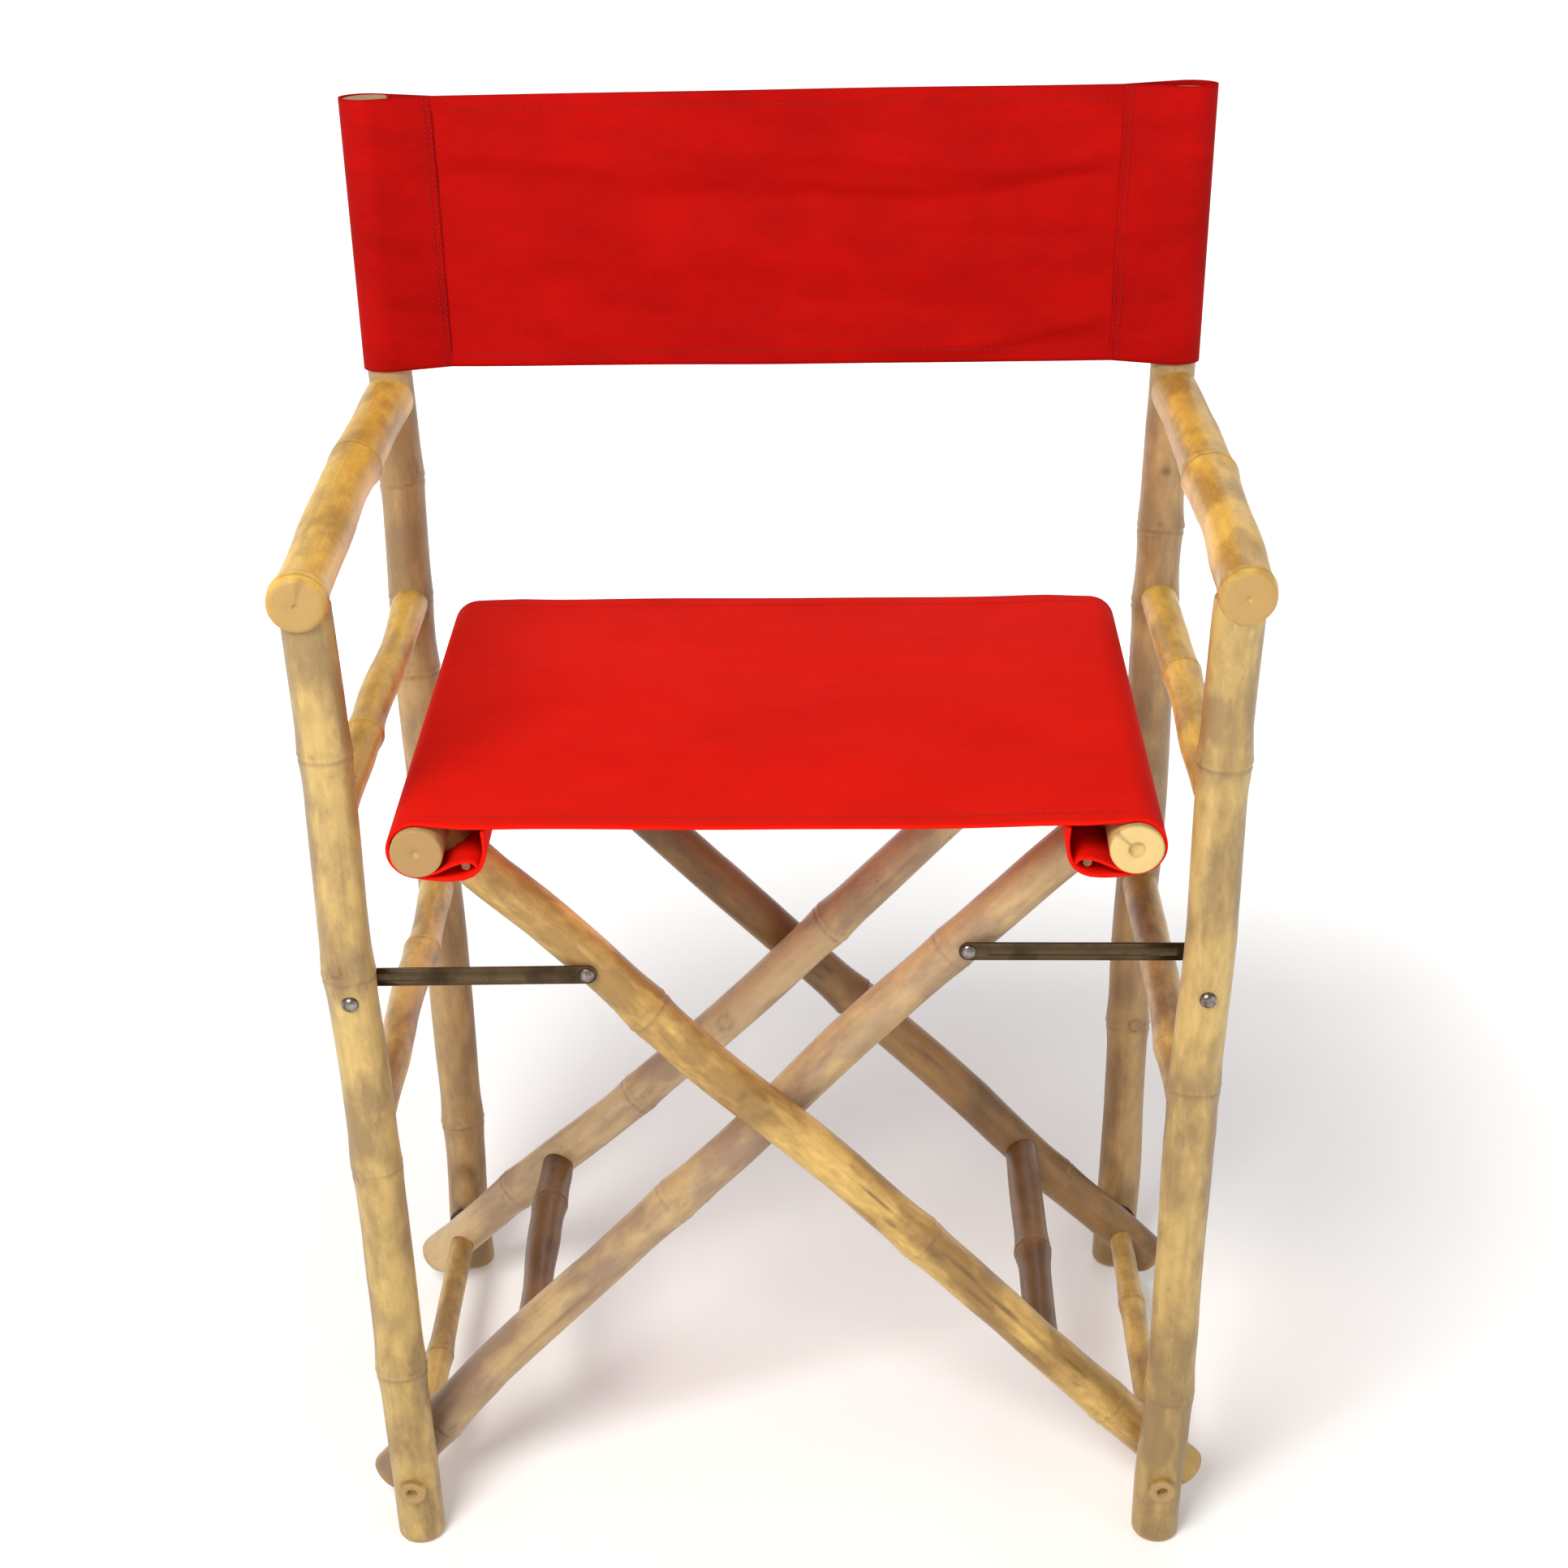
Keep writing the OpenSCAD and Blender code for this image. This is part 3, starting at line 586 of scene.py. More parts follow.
# %% Legs and posts
LEG_RINGS = {-1: [0.141, 0.302, 0.4445, 0.595], 1: [0.120, 0.360, 0.586]}
POST_RINGS = {-1: [0.128, 0.497, 0.5525, 0.640], 1: [0.209, 0.545, 0.600]}
SIDE_NAME = {-1: "left", 1: "right"}
LEG_MARKS = {-1: [(0.452, 1.9, 0.0036, 0.0030, 0.55, 0.0006), (0.52, 1.2, 0.030, 0.0009, 0.35, 0)],
             1: [(0.250, 1.5, 0.040, 0.0009, 0.35, 0), (0.475, 2.0, 0.010, 0.0016, 0.4, 0)]}
POST_MARKS = {-1: [(0.070, 1.6, 0.018, 0.010, 0.55, 0), (0.33, 1.2, 0.05, 0.0009, 0.3, 0)],
              1: [(0.644, 1.6, 0.0030, 0.0030, 0.9, 0.0010), (0.212, 1.3, 0.0040, 0.0040, 0.8, 0.0008)]}
FRONT_R, ARM_R, SIDE_RAIL_R, AXLE_R, RUNG_R, STICK_R = 0.0165, 0.0168, 0.0125, 0.0092, 0.0115, 0.0031
ROUNDED = PITH
FOOT = (0.0010, 0.0008, 0.0048)
FRONT_TOP = 0.690

for side in (-1, 1):
    name = SIDE_NAME[side]
    body = f"{name}_side_frame"
    upright = straight(side_point(side, FRONT_Y, 0.0005), side_point(side, FRONT_Y, FRONT_TOP))
    leg = make_pole(f"front_leg_{name}_pole", upright, FRONT_R, LEG_RINGS[side], LEG_MARKS[side],
                    FOOT, ROUNDED, seed=10 + side, sway=(0.0018, 0.0001), swell=0.0005, trim=0.0006,
                    calm_back=1.0)
    finish_piece(leg, PALE, body, "bamboo_pole", f"front_leg_{name}")
    leaning = straight(post_point(side, 0.0005), post_point(side, POST_TOP + 0.0003))
    post = make_pole(f"rear_post_{name}_pole", leaning, POST_R, POST_RINGS[side], POST_MARKS[side],
                     FOOT, ROUNDED, seed=20 + side)
    # The post's darker tan finish is painted shade.
    finish_piece(post, SHADED_TAN, body, "bamboo_pole", f"rear_post_{name}")
    print(name, "leg and post:", len(leg.data.polygons) + len(post.data.polygons), "faces")

# %% [markdown]
# ## Armrests and side rails
# The armrests come from a riper cane, which is golden. A strong growth ring sits just behind the
# front end, with a dark edge of painted shade under it.

# %% Armrests
def bowed(p, q, side):
    """A path from p to q that bows away from the seat."""
    def at(t):
        return p.lerp(q, t) + Vector((side * (ARM_OUT + ARM_BOW * math.sin(math.pi * t)), 0, 0))
    return at


ARM_OUT, ARM_BOW = 0.0014, 0.0036
ARM_RINGS = {-1: [0.0115, 0.245], 1: [0.0115, 0.205]}
# Painted shade: a dark band on the underside of the cane, just behind the front growth ring.
ARM_UNDER_SHADE = [(0.0150, 4.7, 0.0016, 0.020, 0.5, 0)]
TENON = 0.006
for side in (-1, 1):
    name = SIDE_NAME[side]
    rear = post_point(side, ARM_Z)
    front = side_point(side, FRONT_Y - 0.020, ARM_Z)
    arm_path = bowed(front, side_point(side, rear.y - TENON, ARM_Z), side)
    arm = make_pole(f"armrest_{name}_pole", arm_path, ARM_R, ARM_RINGS[side], ARM_UNDER_SHADE,
                    (0.0014, 0.0012, 0.0035), ROUNDED, seed=30 + side, sway=(0.0008, 0.0022), swell=0.0007)
    finish_piece(arm, GOLDEN, f"{name}_side_frame", "bamboo_gold", f"armrest_{name}", f"arm_pegs_{name}")

# %% Side rails
RAIL_HEIGHTS = {"upper": 0.548, "lower": 0.327}
GOLD_RAIL = {"upper": GOLDEN, "lower": STRAW}
RAIL_RINGS = {("upper", -1): [0.120], ("upper", 1): [0.205], ("lower", -1): [0.230], ("lower", 1): [0.090]}
for side in (-1, 1):
    name = SIDE_NAME[side]
    for level_name, height in RAIL_HEIGHTS.items():
        rear_y = post_point(side, height).y
        rail_path = straight(side_point(side, FRONT_Y + TENON, height),
                             side_point(side, rear_y - TENON, height))
        rail = make_pole(f"{level_name}_side_rail_{name}_pole", rail_path, SIDE_RAIL_R,
                         RAIL_RINGS[(level_name, side)], (), ROUNDED, ROUNDED,
                         seed=40 + side * 3 + len(level_name))
        rail_node = f"{level_name}_side_rail_{name}"
        finish_piece(rail, GOLD_RAIL[level_name], f"{name}_side_frame", "bamboo_pole", rail_node)
print("armrests and rails in place")

# %% [markdown]
# ## Foot axles
# One thin cane runs through the front leg, both crossing legs and the rear post. Its ends stand
# proud, so the hollow of the cane shows as a ring.

# %% Foot axles
HOLLOW = (0.030, 0.0030, 0.0012)
for side in (-1, 1):
    name = SIDE_NAME[side]
    low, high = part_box(f"foot_axle_{name}")
    axle = make_pole(f"foot_axle_{name}_cane",
                     straight((side * AXLE.x, low.y, AXLE.z), (side * AXLE.x, high.y, AXLE.z)), AXLE_R,
                     [0.150] if side < 0 else [0.210], (), HOLLOW, HOLLOW, seed=50 + side, sway=(0, 0),
                     swell=0.0002)
    finish_piece(axle, STRAW, f"{name}_side_frame", "bamboo_pole", f"foot_axle_{name}")

# %% [markdown]
# ## Crossing legs
# The outer frame's legs are straight. The inner frame's legs bow back around them, so their path
# is a smooth curve through foot, crossing and rail. These canes are browner, with scars,
# knots and long dark cracks.

# %% Paths of the crossing legs
LEG_R = 0.0155
TOE = 0.036
OUTER_Y = {"front": 0.0345, "rear": 0.2823}
INNER_Y = {"front": (0.0355, 0.0662, 0.058), "rear": (0.2808, 0.2506, 0.2588)}


def outer_path(y):
    foot = Vector((AXLE.x, FRONT_Y + y, AXLE.z))
    top = Vector((-RAIL.x, FRONT_Y + y, RAIL.z))
    way = (top - foot).normalized()
    return straight(foot - way * TOE, top - way * 0.006)


def inner_path(depths):
    """A leg that bows between its foot, the crossing and its rail."""
    foot = Vector((-AXLE.x, 0, AXLE.z))
    top = Vector((RAIL.x, 0, RAIL.z))
    way = (top - foot).normalized()
    whole = (top - foot).length
    cross = (Vector((0, 0, CROSS_Z)) - foot).length
    bend = np.polyfit([0, cross, whole], depths, 2)

    def at(t):
        along = -TOE + t * (whole - 0.006 + TOE)
        point = foot + way * along
        point.y = FRONT_Y + float(np.polyval(bend, along))
        return point
    return at


# %% Crossing legs
LEG_DETAIL = {
    ("outer", "front"): ([0.085, 0.272, 0.520], [
        (0.428, 1.50, 0.0080, 0.0075, 0.42, 0.0012),
        (0.318, 1.35, 0.0140, 0.0009, 0.95, -0.0004),
        (0.300, 1.75, 0.0050, 0.0016, 0.70, -0.0003),
        (0.262, 1.45, 0.0100, 0.0030, 0.55, 0),
        (0.240, 1.20, 0.0180, 0.0016, 0.85, -0.0004),
        (0.215, 1.75, 0.0160, 0.0010, 0.80, -0.0003),
        (0.190, 1.30, 0.0300, 0.0013, 0.90, -0.0005),
        (0.165, 2.05, 0.0200, 0.0012, 0.65, 0),
        (0.128, 1.15, 0.0120, 0.0014, 0.75, -0.0003),
        (0.118, 1.50, 0.0035, 0.0030, 0.90, 0.0004)]),
    ("outer", "rear"): ([0.110, 0.330, 0.600], [
        (0.366, 1.50, 0.0050, 0.0045, 0.90, 0.0008),
        (0.312, 1.40, 0.0060, 0.0050, 0.85, 0.0008),
        (0.250, 1.30, 0.0200, 0.0015, 0.60, 0)]),
    ("inner", "front"): ([0.060, 0.295, 0.560], [
        (0.398, 1.60, 0.0040, 0.0035, 0.55, 0.0004),
        (0.470, 1.90, 0.0030, 0.0022, 0.60, 0.0003),
        (0.180, 1.20, 0.0350, 0.0013, 0.50, 0)]),
    ("inner", "rear"): ([0.105, 0.240, 0.447], [
        (0.338, 1.60, 0.0050, 0.0045, 0.45, 0.0004),
        (0.500, 1.30, 0.0300, 0.0013, 0.45, 0)]),
}
TOE_END = (0.0012, 0.0010, 0.0065)
STEADY = {"sway": (0.0030, 0.0002), "swell": 0.0004, "trim": 0.0006, "knobbly": 0.0006, "calm_at": 0.3986}
LEG_SKIN = {("outer", "front"): STRAW, ("outer", "rear"): UMBER,
            ("inner", "front"): BROWN, ("inner", "rear"): ASHY}


def leg_path(frame_name, place):
    return outer_path(OUTER_Y[place]) if frame_name == "outer" else inner_path(INNER_Y[place])


for number, ((frame_name, place), (rings, marks)) in enumerate(LEG_DETAIL.items()):
    node = f"{frame_name}_leg_{place}"
    leg = make_pole(f"{node}_cane", leg_path(frame_name, place), LEG_R, rings, marks, TOE_END, ROUNDED,
                    seed=61 + number, **STEADY)
    finish_piece(leg, LEG_SKIN[(frame_name, place)], f"{frame_name}_x_frame", "bamboo_dark", node)
print("four crossing legs, with rings and scars")

# %% Rungs and seat rails
for frame_name, side in (("outer", 1), ("inner", -1)):
    low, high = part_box(f"{frame_name}_rung")
    x, z = (low.x + high.x) / 2, (low.z + high.z) / 2
    rung_path = straight((x, low.y + 0.001, z), (x, high.y - 0.001, z))
    rung = make_pole(f"{frame_name}_rung_cane", rung_path, RUNG_R, [0.10] if side > 0 else [0.15], (),
                     ROUNDED, ROUNDED, seed=70 + side)
    finish_piece(rung, SMOKED, f"{frame_name}_x_frame", "bamboo_dark", f"{frame_name}_rung")

END_MARKS = {-1: [], 1: [(0.001, 2.4, 0.002, 0.0012, 0.8, 0)]}
END_HOLLOWS = {-1: (0.0015, 0.0022, 0.0020), 1: (0.0040, 0.0046, 0.0020)}
for side, frame_name in ((-1, "outer"), (1, "inner")):
    name = SIDE_NAME[side]
    low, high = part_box(f"seat_rail_{name}")
    rail = make_pole(f"seat_rail_{name}_cane",
                     straight((side * RAIL.x, low.y, RAIL.z), (side * RAIL.x, high.y, RAIL.z)), RAIL_R,
                     [0.16] if side < 0 else [0.22], END_MARKS[side], END_HOLLOWS[side], ROUNDED,
                     seed=80 + side, sway=(0, 0), swell=0.0002)
    finish_piece(rail, RAIL_SKIN[side], f"{frame_name}_x_frame", "bamboo_pole", f"seat_rail_{name}",
                 f"rail_pegs_{name}")
print("rungs and seat rails in place")

# %% [markdown]
# ## Metal
# The links are flat bronze-coloured strips with a worn bright edge, held by domed steel bolts and
# rivets. Their solids already have the right shape, so copies of them get softened edges: without
# a bevel, metal edges catch no light and look like card.


# %% Metal finishes
def build_wear_group():
    tree, given, result = new_group(
        "Worn metal",
        [("Clean", "NodeSocketColor", (0.6, 0.6, 0.6, 1)), ("Tarnish", "NodeSocketColor", (0.2, 0.2, 0.2, 1)),
         ("Scale", "NodeSocketFloat", 220.0)], SKIN_OUTPUTS)
    place = tree.nodes.new("ShaderNodeTexCoord").outputs["Object"]
    blotch = add(tree, "ShaderNodeTexNoise", Detail=4.0)
    join(tree, place, blotch.inputs["Vector"])
    join(tree, given.outputs["Scale"], blotch.inputs["Scale"])
    scratch = noise(tree, place, (60, 60, 2400), 2.0)
    dull = mask(tree, blotch.outputs["Fac"], 0.42, 0.66)
    join(tree, mix(tree, dull, given.outputs["Clean"], given.outputs["Tarnish"]), result.inputs["Color"])
    join(tree, calculate(tree, "MULTIPLY_ADD", dull, 0.25, 0.22), result.inputs["Roughness"])
    join(tree, scratch, result.inputs["Height"])
    return tree


wear_group = build_wear_group()


def metal_material(name, clean, tarnish, scale):
    return grouped_material(name, wear_group, 0.12, 0.0002, {"Metallic": 1.0}, Clean=(*clean, 1),
                            Tarnish=(*tarnish, 1), Scale=scale)


STEEL = metal_material("Domed steel", (0.27, 0.24, 0.215), (0.10, 0.08, 0.065), 260.0)
BRONZE = metal_material("Bronze link strip", (0.075, 0.052, 0.028), (0.045, 0.030, 0.016), 45.0)


# %% Softened copies of the metal solids
def softened(node, width, turn_limit=35):
    """A copy of a solid with its sharp edges bevelled."""
    mesh = frame["nodes"][node].data.copy()
    mesh.name = f"{node}_soft"
    work = bmesh.new()
    work.from_mesh(mesh)
    bmesh.ops.remove_doubles(work, verts=work.verts, dist=1e-6)
    bmesh.ops.dissolve_limit(work, angle_limit=math.radians(1), verts=work.verts, edges=work.edges)
    bmesh.ops.recalc_face_normals(work, faces=work.faces)
    work.to_mesh(mesh)
    work.free()
    mesh.shade_smooth()
    piece = placed(f"{node}_soft", mesh)
    bevel = piece.modifiers.new("soft edges", "BEVEL")
    bevel.width = width
    bevel.segments = 2
    bevel.limit_method = "ANGLE"
    bevel.angle_limit = math.radians(turn_limit)
    return bake_modifiers(piece)


def bake_modifiers(piece):
    """Turns the evaluated piece into a plain mesh and drops its modifiers."""
    shape = bpy.data.meshes.new_from_object(piece.evaluated_get(bpy.context.evaluated_depsgraph_get()))
    piece.modifiers.clear()
    piece.data = shape
    return piece


def finish_metal(node, width, body, material=STEEL, slot="steel_bright"):
    """Lets a softened copy stand for the solid it was made from."""
    finish_piece(softened(node, width), material, body, slot, node)


for name in SIDE_NAME.values():
    for node in (f"link_bolt_{name}", f"link_nut_{name}", f"foot_washers_{name}"):
        finish_metal(node, 0.0003, f"{name}_side_frame")
    finish_metal(f"link_rivet_{name}", 0.0002, f"{name}_link_body")
    finish_metal(f"link_{name}", 0.0004, f"{name}_link_body", BRONZE, "link_bronze")
finish_metal("link_spacer_right", 0.0003, "right_side_frame")
for place in ("front", "rear"):
    finish_metal(f"crossing_pin_{place}", 0.0003, "inner_x_frame")
print("metal pieces softened and finished")

# %% [markdown]
# ## Red canvas
# Canvas is a plain weave of thick thread. The weave follows the cloth's own flat map, in metres, so
# that it bends with the sleeves. Soft random clouds darken the red a little, and the ends of the
# thread scatter light at grazing angles, which is what sheen is for.


# %% Canvas finish
def build_weave_group():
    tree, given, result = new_group(
        "Canvas weave",
        [("Red", "NodeSocketColor", (0.6, 0.02, 0.01, 1)), ("Shade", "NodeSocketColor", (0.4, 0.01, 0.01, 1)),
         ("Thread", "NodeSocketFloat", 1250.0), ("Unevenness", "NodeSocketFloat", 0.3)], SKIN_OUTPUTS)
    flat = add(tree, "ShaderNodeUVMap", uv_map="cloth").outputs["UV"]
    sides = tree.nodes.new("ShaderNodeSeparateXYZ")
    join(tree, flat, sides.inputs["Vector"])
    warp = calculate(tree, "SINE", calculate(tree, "MULTIPLY", sides.outputs["X"], given.outputs["Thread"]))
    weft = calculate(tree, "SINE", calculate(tree, "MULTIPLY", sides.outputs["Y"], given.outputs["Thread"]))
    weave = calculate(tree, "MULTIPLY_ADD", calculate(tree, "MULTIPLY", warp, weft), 0.5, 0.5)
    cloud = noise(tree, flat, 9.0, 4.0, 0.6)
    patch_noise = noise(tree, flat, (16, 34, 1), 5.0, 0.68)
    patch_mask = mask(tree, patch_noise, 0.40, 0.62)
    slub = noise(tree, flat, (30, 900, 1), 2.0)
    shade = mask(tree, cloud, 0.35, 0.72)
    colour = mix(tree, calculate(tree, "MULTIPLY", shade, 0.45), given.outputs["Red"], given.outputs["Shade"])
    patch_amount = calculate(tree, "MULTIPLY", patch_mask, given.outputs["Unevenness"])
    colour = mix(tree, patch_amount, colour, given.outputs["Shade"])
    colour = mix(tree, calculate(tree, "MULTIPLY", weave, 0.10), colour, given.outputs["Shade"])
    join(tree, colour, result.inputs["Color"])
    join(tree, calculate(tree, "MULTIPLY_ADD", cloud, 0.15, 0.72), result.inputs["Roughness"])
    join(tree, calculate(tree, "MULTIPLY_ADD", slub, 0.5, weave), result.inputs["Height"])
    return tree


weave_group = build_weave_group()


def canvas_material(name, red, shade, unevenness):
    matt = {"Sheen Weight": 0.03, "Sheen Roughness": 0.5, "Sheen Tint": (1.0, 0.12, 0.08, 1),
            "Specular IOR Level": 0.06}
    return grouped_material(name, weave_group, 0.22, 0.0004, matt, Red=(*red, 1), Shade=(*shade, 1),
                            Unevenness=unevenness)


SEAT_RED = canvas_material("Seat canvas", (0.72, 0.0070, 0.0015), (0.54, 0.0050, 0.0012), 0.25)
# The back and sleeve reds are darker copies of the seat's red: painted shade, as the upright back takes less
# light than the seat.
BACK_RED_SHADED = canvas_material("Back canvas", (0.40, 0.0022, 0.0010), (0.24, 0.0013, 0.0006), 0.38)
SLEEVE_RED_SHADED = canvas_material("Doubled canvas", (0.38, 0.0020, 0.0010), (0.23, 0.0012, 0.0006), 0.50)


def thread_material(name, colour, roughness):
    """Sewing thread: matt, with a faint twist in it."""
    material, tree, shader = new_material(name)
    place = tree.nodes.new("ShaderNodeTexCoord").outputs["Object"]
    twist = noise(tree, place, 1400.0, 1.0)
    dim = tuple(0.75 * c for c in colour)
    join(tree, ramp(tree, twist, [(0.3, dim), (0.7, colour)]), shader.inputs["Base Color"])
    shader.inputs["Roughness"].default_value = roughness
    return material


THREAD = thread_material("Red thread", (0.29, 0.003, 0.002), 0.95)

# %% [markdown]
# ## Making cloth
# A cloth is a grid that follows a profile across the chair and runs straight along it. The flat
# map comes from the same grid, so the weave keeps its size. The sheet is thin, and Solidify
# gives it both faces.

# %% Cloth maker
CLOTH_T = 0.0016
SEAT_T = 0.0023


def cloth_sheet(name, grid, profile_lengths, run_lengths, thickness=CLOTH_T, keep=None):
    """Grid of points (profile, run, xyz) as a sheet with a flat map in metres."""
    across, along = grid.shape[:2]
    index = np.arange(across * along).reshape(across, along)
    cells = [(index[i, j], index[i + 1, j], index[i + 1, j + 1], index[i, j + 1])
             for i in range(across - 1) for j in range(along - 1) if keep is None or keep[i, j]]
    mesh = bpy.data.meshes.new(name)
    mesh.from_pydata([tuple(p) for p in grid.reshape(-1, 3)], [], [tuple(int(k) for k in c) for c in cells])
    uv = np.stack(np.meshgrid(profile_lengths, run_lengths, indexing="ij"), 2).reshape(-1, 2)
    layer = mesh.uv_layers.new(name="cloth")
    corner = np.zeros(len(mesh.loops), np.int32)
    mesh.loops.foreach_get("vertex_index", corner)
    layer.data.foreach_set("uv", uv[corner].astype(np.float32).ravel())
    work = bmesh.new()
    work.from_mesh(mesh)
    loose = [v for v in work.verts if not v.link_faces]
    bmesh.ops.delete(work, geom=loose, context="VERTS")
    work.to_mesh(mesh)
    work.free()
    mesh.shade_smooth()
    piece = placed(name, mesh)
    wall = piece.modifiers.new("thickness", "SOLIDIFY")
    wall.thickness = thickness
    wall.offset = 0.0
    wall.use_even_offset = False
    return bake_modifiers(piece)


def resample(points, step):
    """Even steps along a polyline: (points, distances)."""
    points = np.asarray(points, float)
    gone = np.concatenate([[0], np.cumsum(np.linalg.norm(np.diff(points, axis=0), axis=1))])
    count = max(2, int(round(gone[-1] / step)) + 1)
    at = np.linspace(0, gone[-1], count)
    return np.stack([np.interp(at, gone, points[:, k]) for k in range(points.shape[1])], 1), at


def arc(centre, r, start, stop, steps=24):
    """Points on a circle from one angle to another, in degrees."""
    turns = np.radians(np.linspace(start, stop, steps))
    return [(centre[0] + r * math.cos(a), centre[1] + r * math.sin(a)) for a in turns]


# %% [markdown]
# ## Seat
# The seat is one sheet. From a seam under the seat it drops round a thin stick, passes under the
# rail, wraps its outer side and crosses to the other rail, where the same happens in reverse.

# %% Seat profile
SLEEVE_R = RAIL_R + 0.0013
POCKET = [(-0.004, -0.0184), (-0.012, -0.0188), (-0.020, -0.0185), (-0.028, -0.0172), (-0.034, -0.0145),
          (-0.0385, -0.0100), (-0.0410, -0.0040), (-0.0418, 0.003), (-0.0415, 0.009)]
STICK_IN, STICK_DROP = 0.029, 0.012
SEAM_IN = 0.041
SEAT_SAG = 0.0022
SEAT_STEP, SEAT_RUNS = 0.0032, 116
HEM_HEIGHT, HEM_BLUR = 0.0005, 0.0006
seat_top = RAIL.z + SLEEVE_R


def right_half():
    """Profile from the middle of the seat round the right rail to the seam, as (x, z)."""
    rail = (RAIL.x, RAIL.z)
    points = [(x, seat_top - SEAT_SAG * (1 - (x / RAIL.x) ** 2)) for x in np.linspace(0, RAIL.x - 0.004, 60)]
    points += arc(rail, SLEEVE_R, 88, -84, 40)
    points += [(RAIL.x + x, RAIL.z + z) for x, z in POCKET]
    points += [(RAIL.x - SEAM_IN, seat_top - 0.0035)]
    return points


half = right_half()
profile = [(-x, z) for x, z in reversed(half)][:-1] + half
seat_profile, seat_across = resample(profile, SEAT_STEP)
seat_low, seat_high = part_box("seat_cloth")
seat_run = np.linspace(seat_low.y + 0.001, seat_high.y - 0.001, SEAT_RUNS)
seat_deep = seat_run[-1] - seat_run[0]
print("seat cloth is", round(seat_across[-1], 3), "m round the profile and", round(seat_deep, 3), "m deep")

# %% Seat sheet
rng = np.random.default_rng(7)


def soft_field(rng, u, v, waves):
    """A smooth random height over a grid, from a few slanted waves."""
    field = np.zeros((len(u), len(v)))
    for size, length_u, length_v in waves:
        turn_u, turn_v = rng.uniform(0, TURN, 2)
        skew = rng.uniform(-0.4, 0.4)
        uu = (u / length_u)[:, None] + skew * (v / length_v)[None, :]
        field += size * np.sin(TURN * uu + turn_u) * np.cos(TURN * (v / length_v)[None, :] + turn_v)
    return field


seat_grid = np.zeros((len(seat_profile), len(seat_run), 3))
seat_grid[..., 0] = seat_profile[:, 0][:, None]
seat_grid[..., 1] = seat_run[None, :]
seat_grid[..., 2] = seat_profile[:, 1][:, None]
open_top = np.clip((RAIL.x - 0.012 - np.abs(seat_profile[:, 0])) / 0.05, 0, 1)
open_top *= (seat_profile[:, 1] > RAIL.z + RAIL_R * 0.9)
seat_waves = [(0.0007, 0.31, 0.26), (0.0005, 0.17, 0.45), (0.0004, 0.6, 0.12)]
ripple = soft_field(rng, seat_across, seat_run, seat_waves)
seat_grid[..., 2] += open_top[:, None] * ripple
edge = np.minimum(seat_run - seat_run[0], seat_deep - (seat_run - seat_run[0]))
hem_step = HEM_HEIGHT * (1 / (1 + np.exp((edge - 0.013) / HEM_BLUR)))
seat_grid[..., 2] += open_top[:, None] * hem_step[None, :]
corner_pull = 0.004 * np.exp(-(edge / 0.010) ** 2)
near_rail = np.clip((np.abs(seat_profile[:, 0]) - RAIL.x + 0.03) / 0.03, 0, 1)
inward = np.sign(FRONT_Y + 0.17 - seat_run)
seat_grid[..., 1] += near_rail[:, None] * (corner_pull * inward)[None, :]

SLOT_R, SLOT_RIM = LEG_R + 0.0018, 0.0022
SLOT_START, SLOT_STOP = -0.02, 0.14


def leg_line(frame_name, place):
    """Two points on a crossing leg near its rail."""
    path = leg_path(frame_name, place)
    return np.array(path(0.80)), np.array(path(1.0))


def distance_to_line(points, a, b):
    """Offsets of points from the line through a and b, and how far along it they lie."""
    way = (b - a) / np.linalg.norm(b - a)
    gap = points - a
    along = gap @ way
    return gap - along[..., None] * way, along


def whole_cells(kept):
    """The cells of a grid whose four corners are all kept."""
    return kept[:-1, :-1] & kept[1:, :-1] & kept[:-1, 1:] & kept[1:, 1:]


under_rail = (seat_profile[:, 1] <= RAIL.z + 0.012)[:, None]
open_cells = np.ones(seat_grid.shape[:2], bool)
for frame_name, place in LEG_DETAIL:
    a, b = leg_line(frame_name, place)
    away, along = distance_to_line(seat_grid, a, b)
    reach = np.linalg.norm(away, axis=2)
    near = (along > SLOT_START) & (along < SLOT_STOP) & under_rail
    rim = (reach >= SLOT_R) & (reach < SLOT_R + SLOT_RIM) & near
    pull = away / np.maximum(reach, 1e-6)[..., None] * (SLOT_R + 0.0004 - reach)[..., None]
    seat_grid[rim] += pull[rim]
    open_cells &= ~((reach < SLOT_R) & near)
keep_cells = whole_cells(open_cells)

seat = cloth_sheet("seat_canvas", seat_grid, seat_across, seat_run, SEAT_T, keep=keep_cells)
seat.data.materials.append(SEAT_RED)
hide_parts("seat_cloth", "hem_sticks_left", "hem_sticks_right")
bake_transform(seat)
print("seat:", len(seat.data.polygons), "faces")

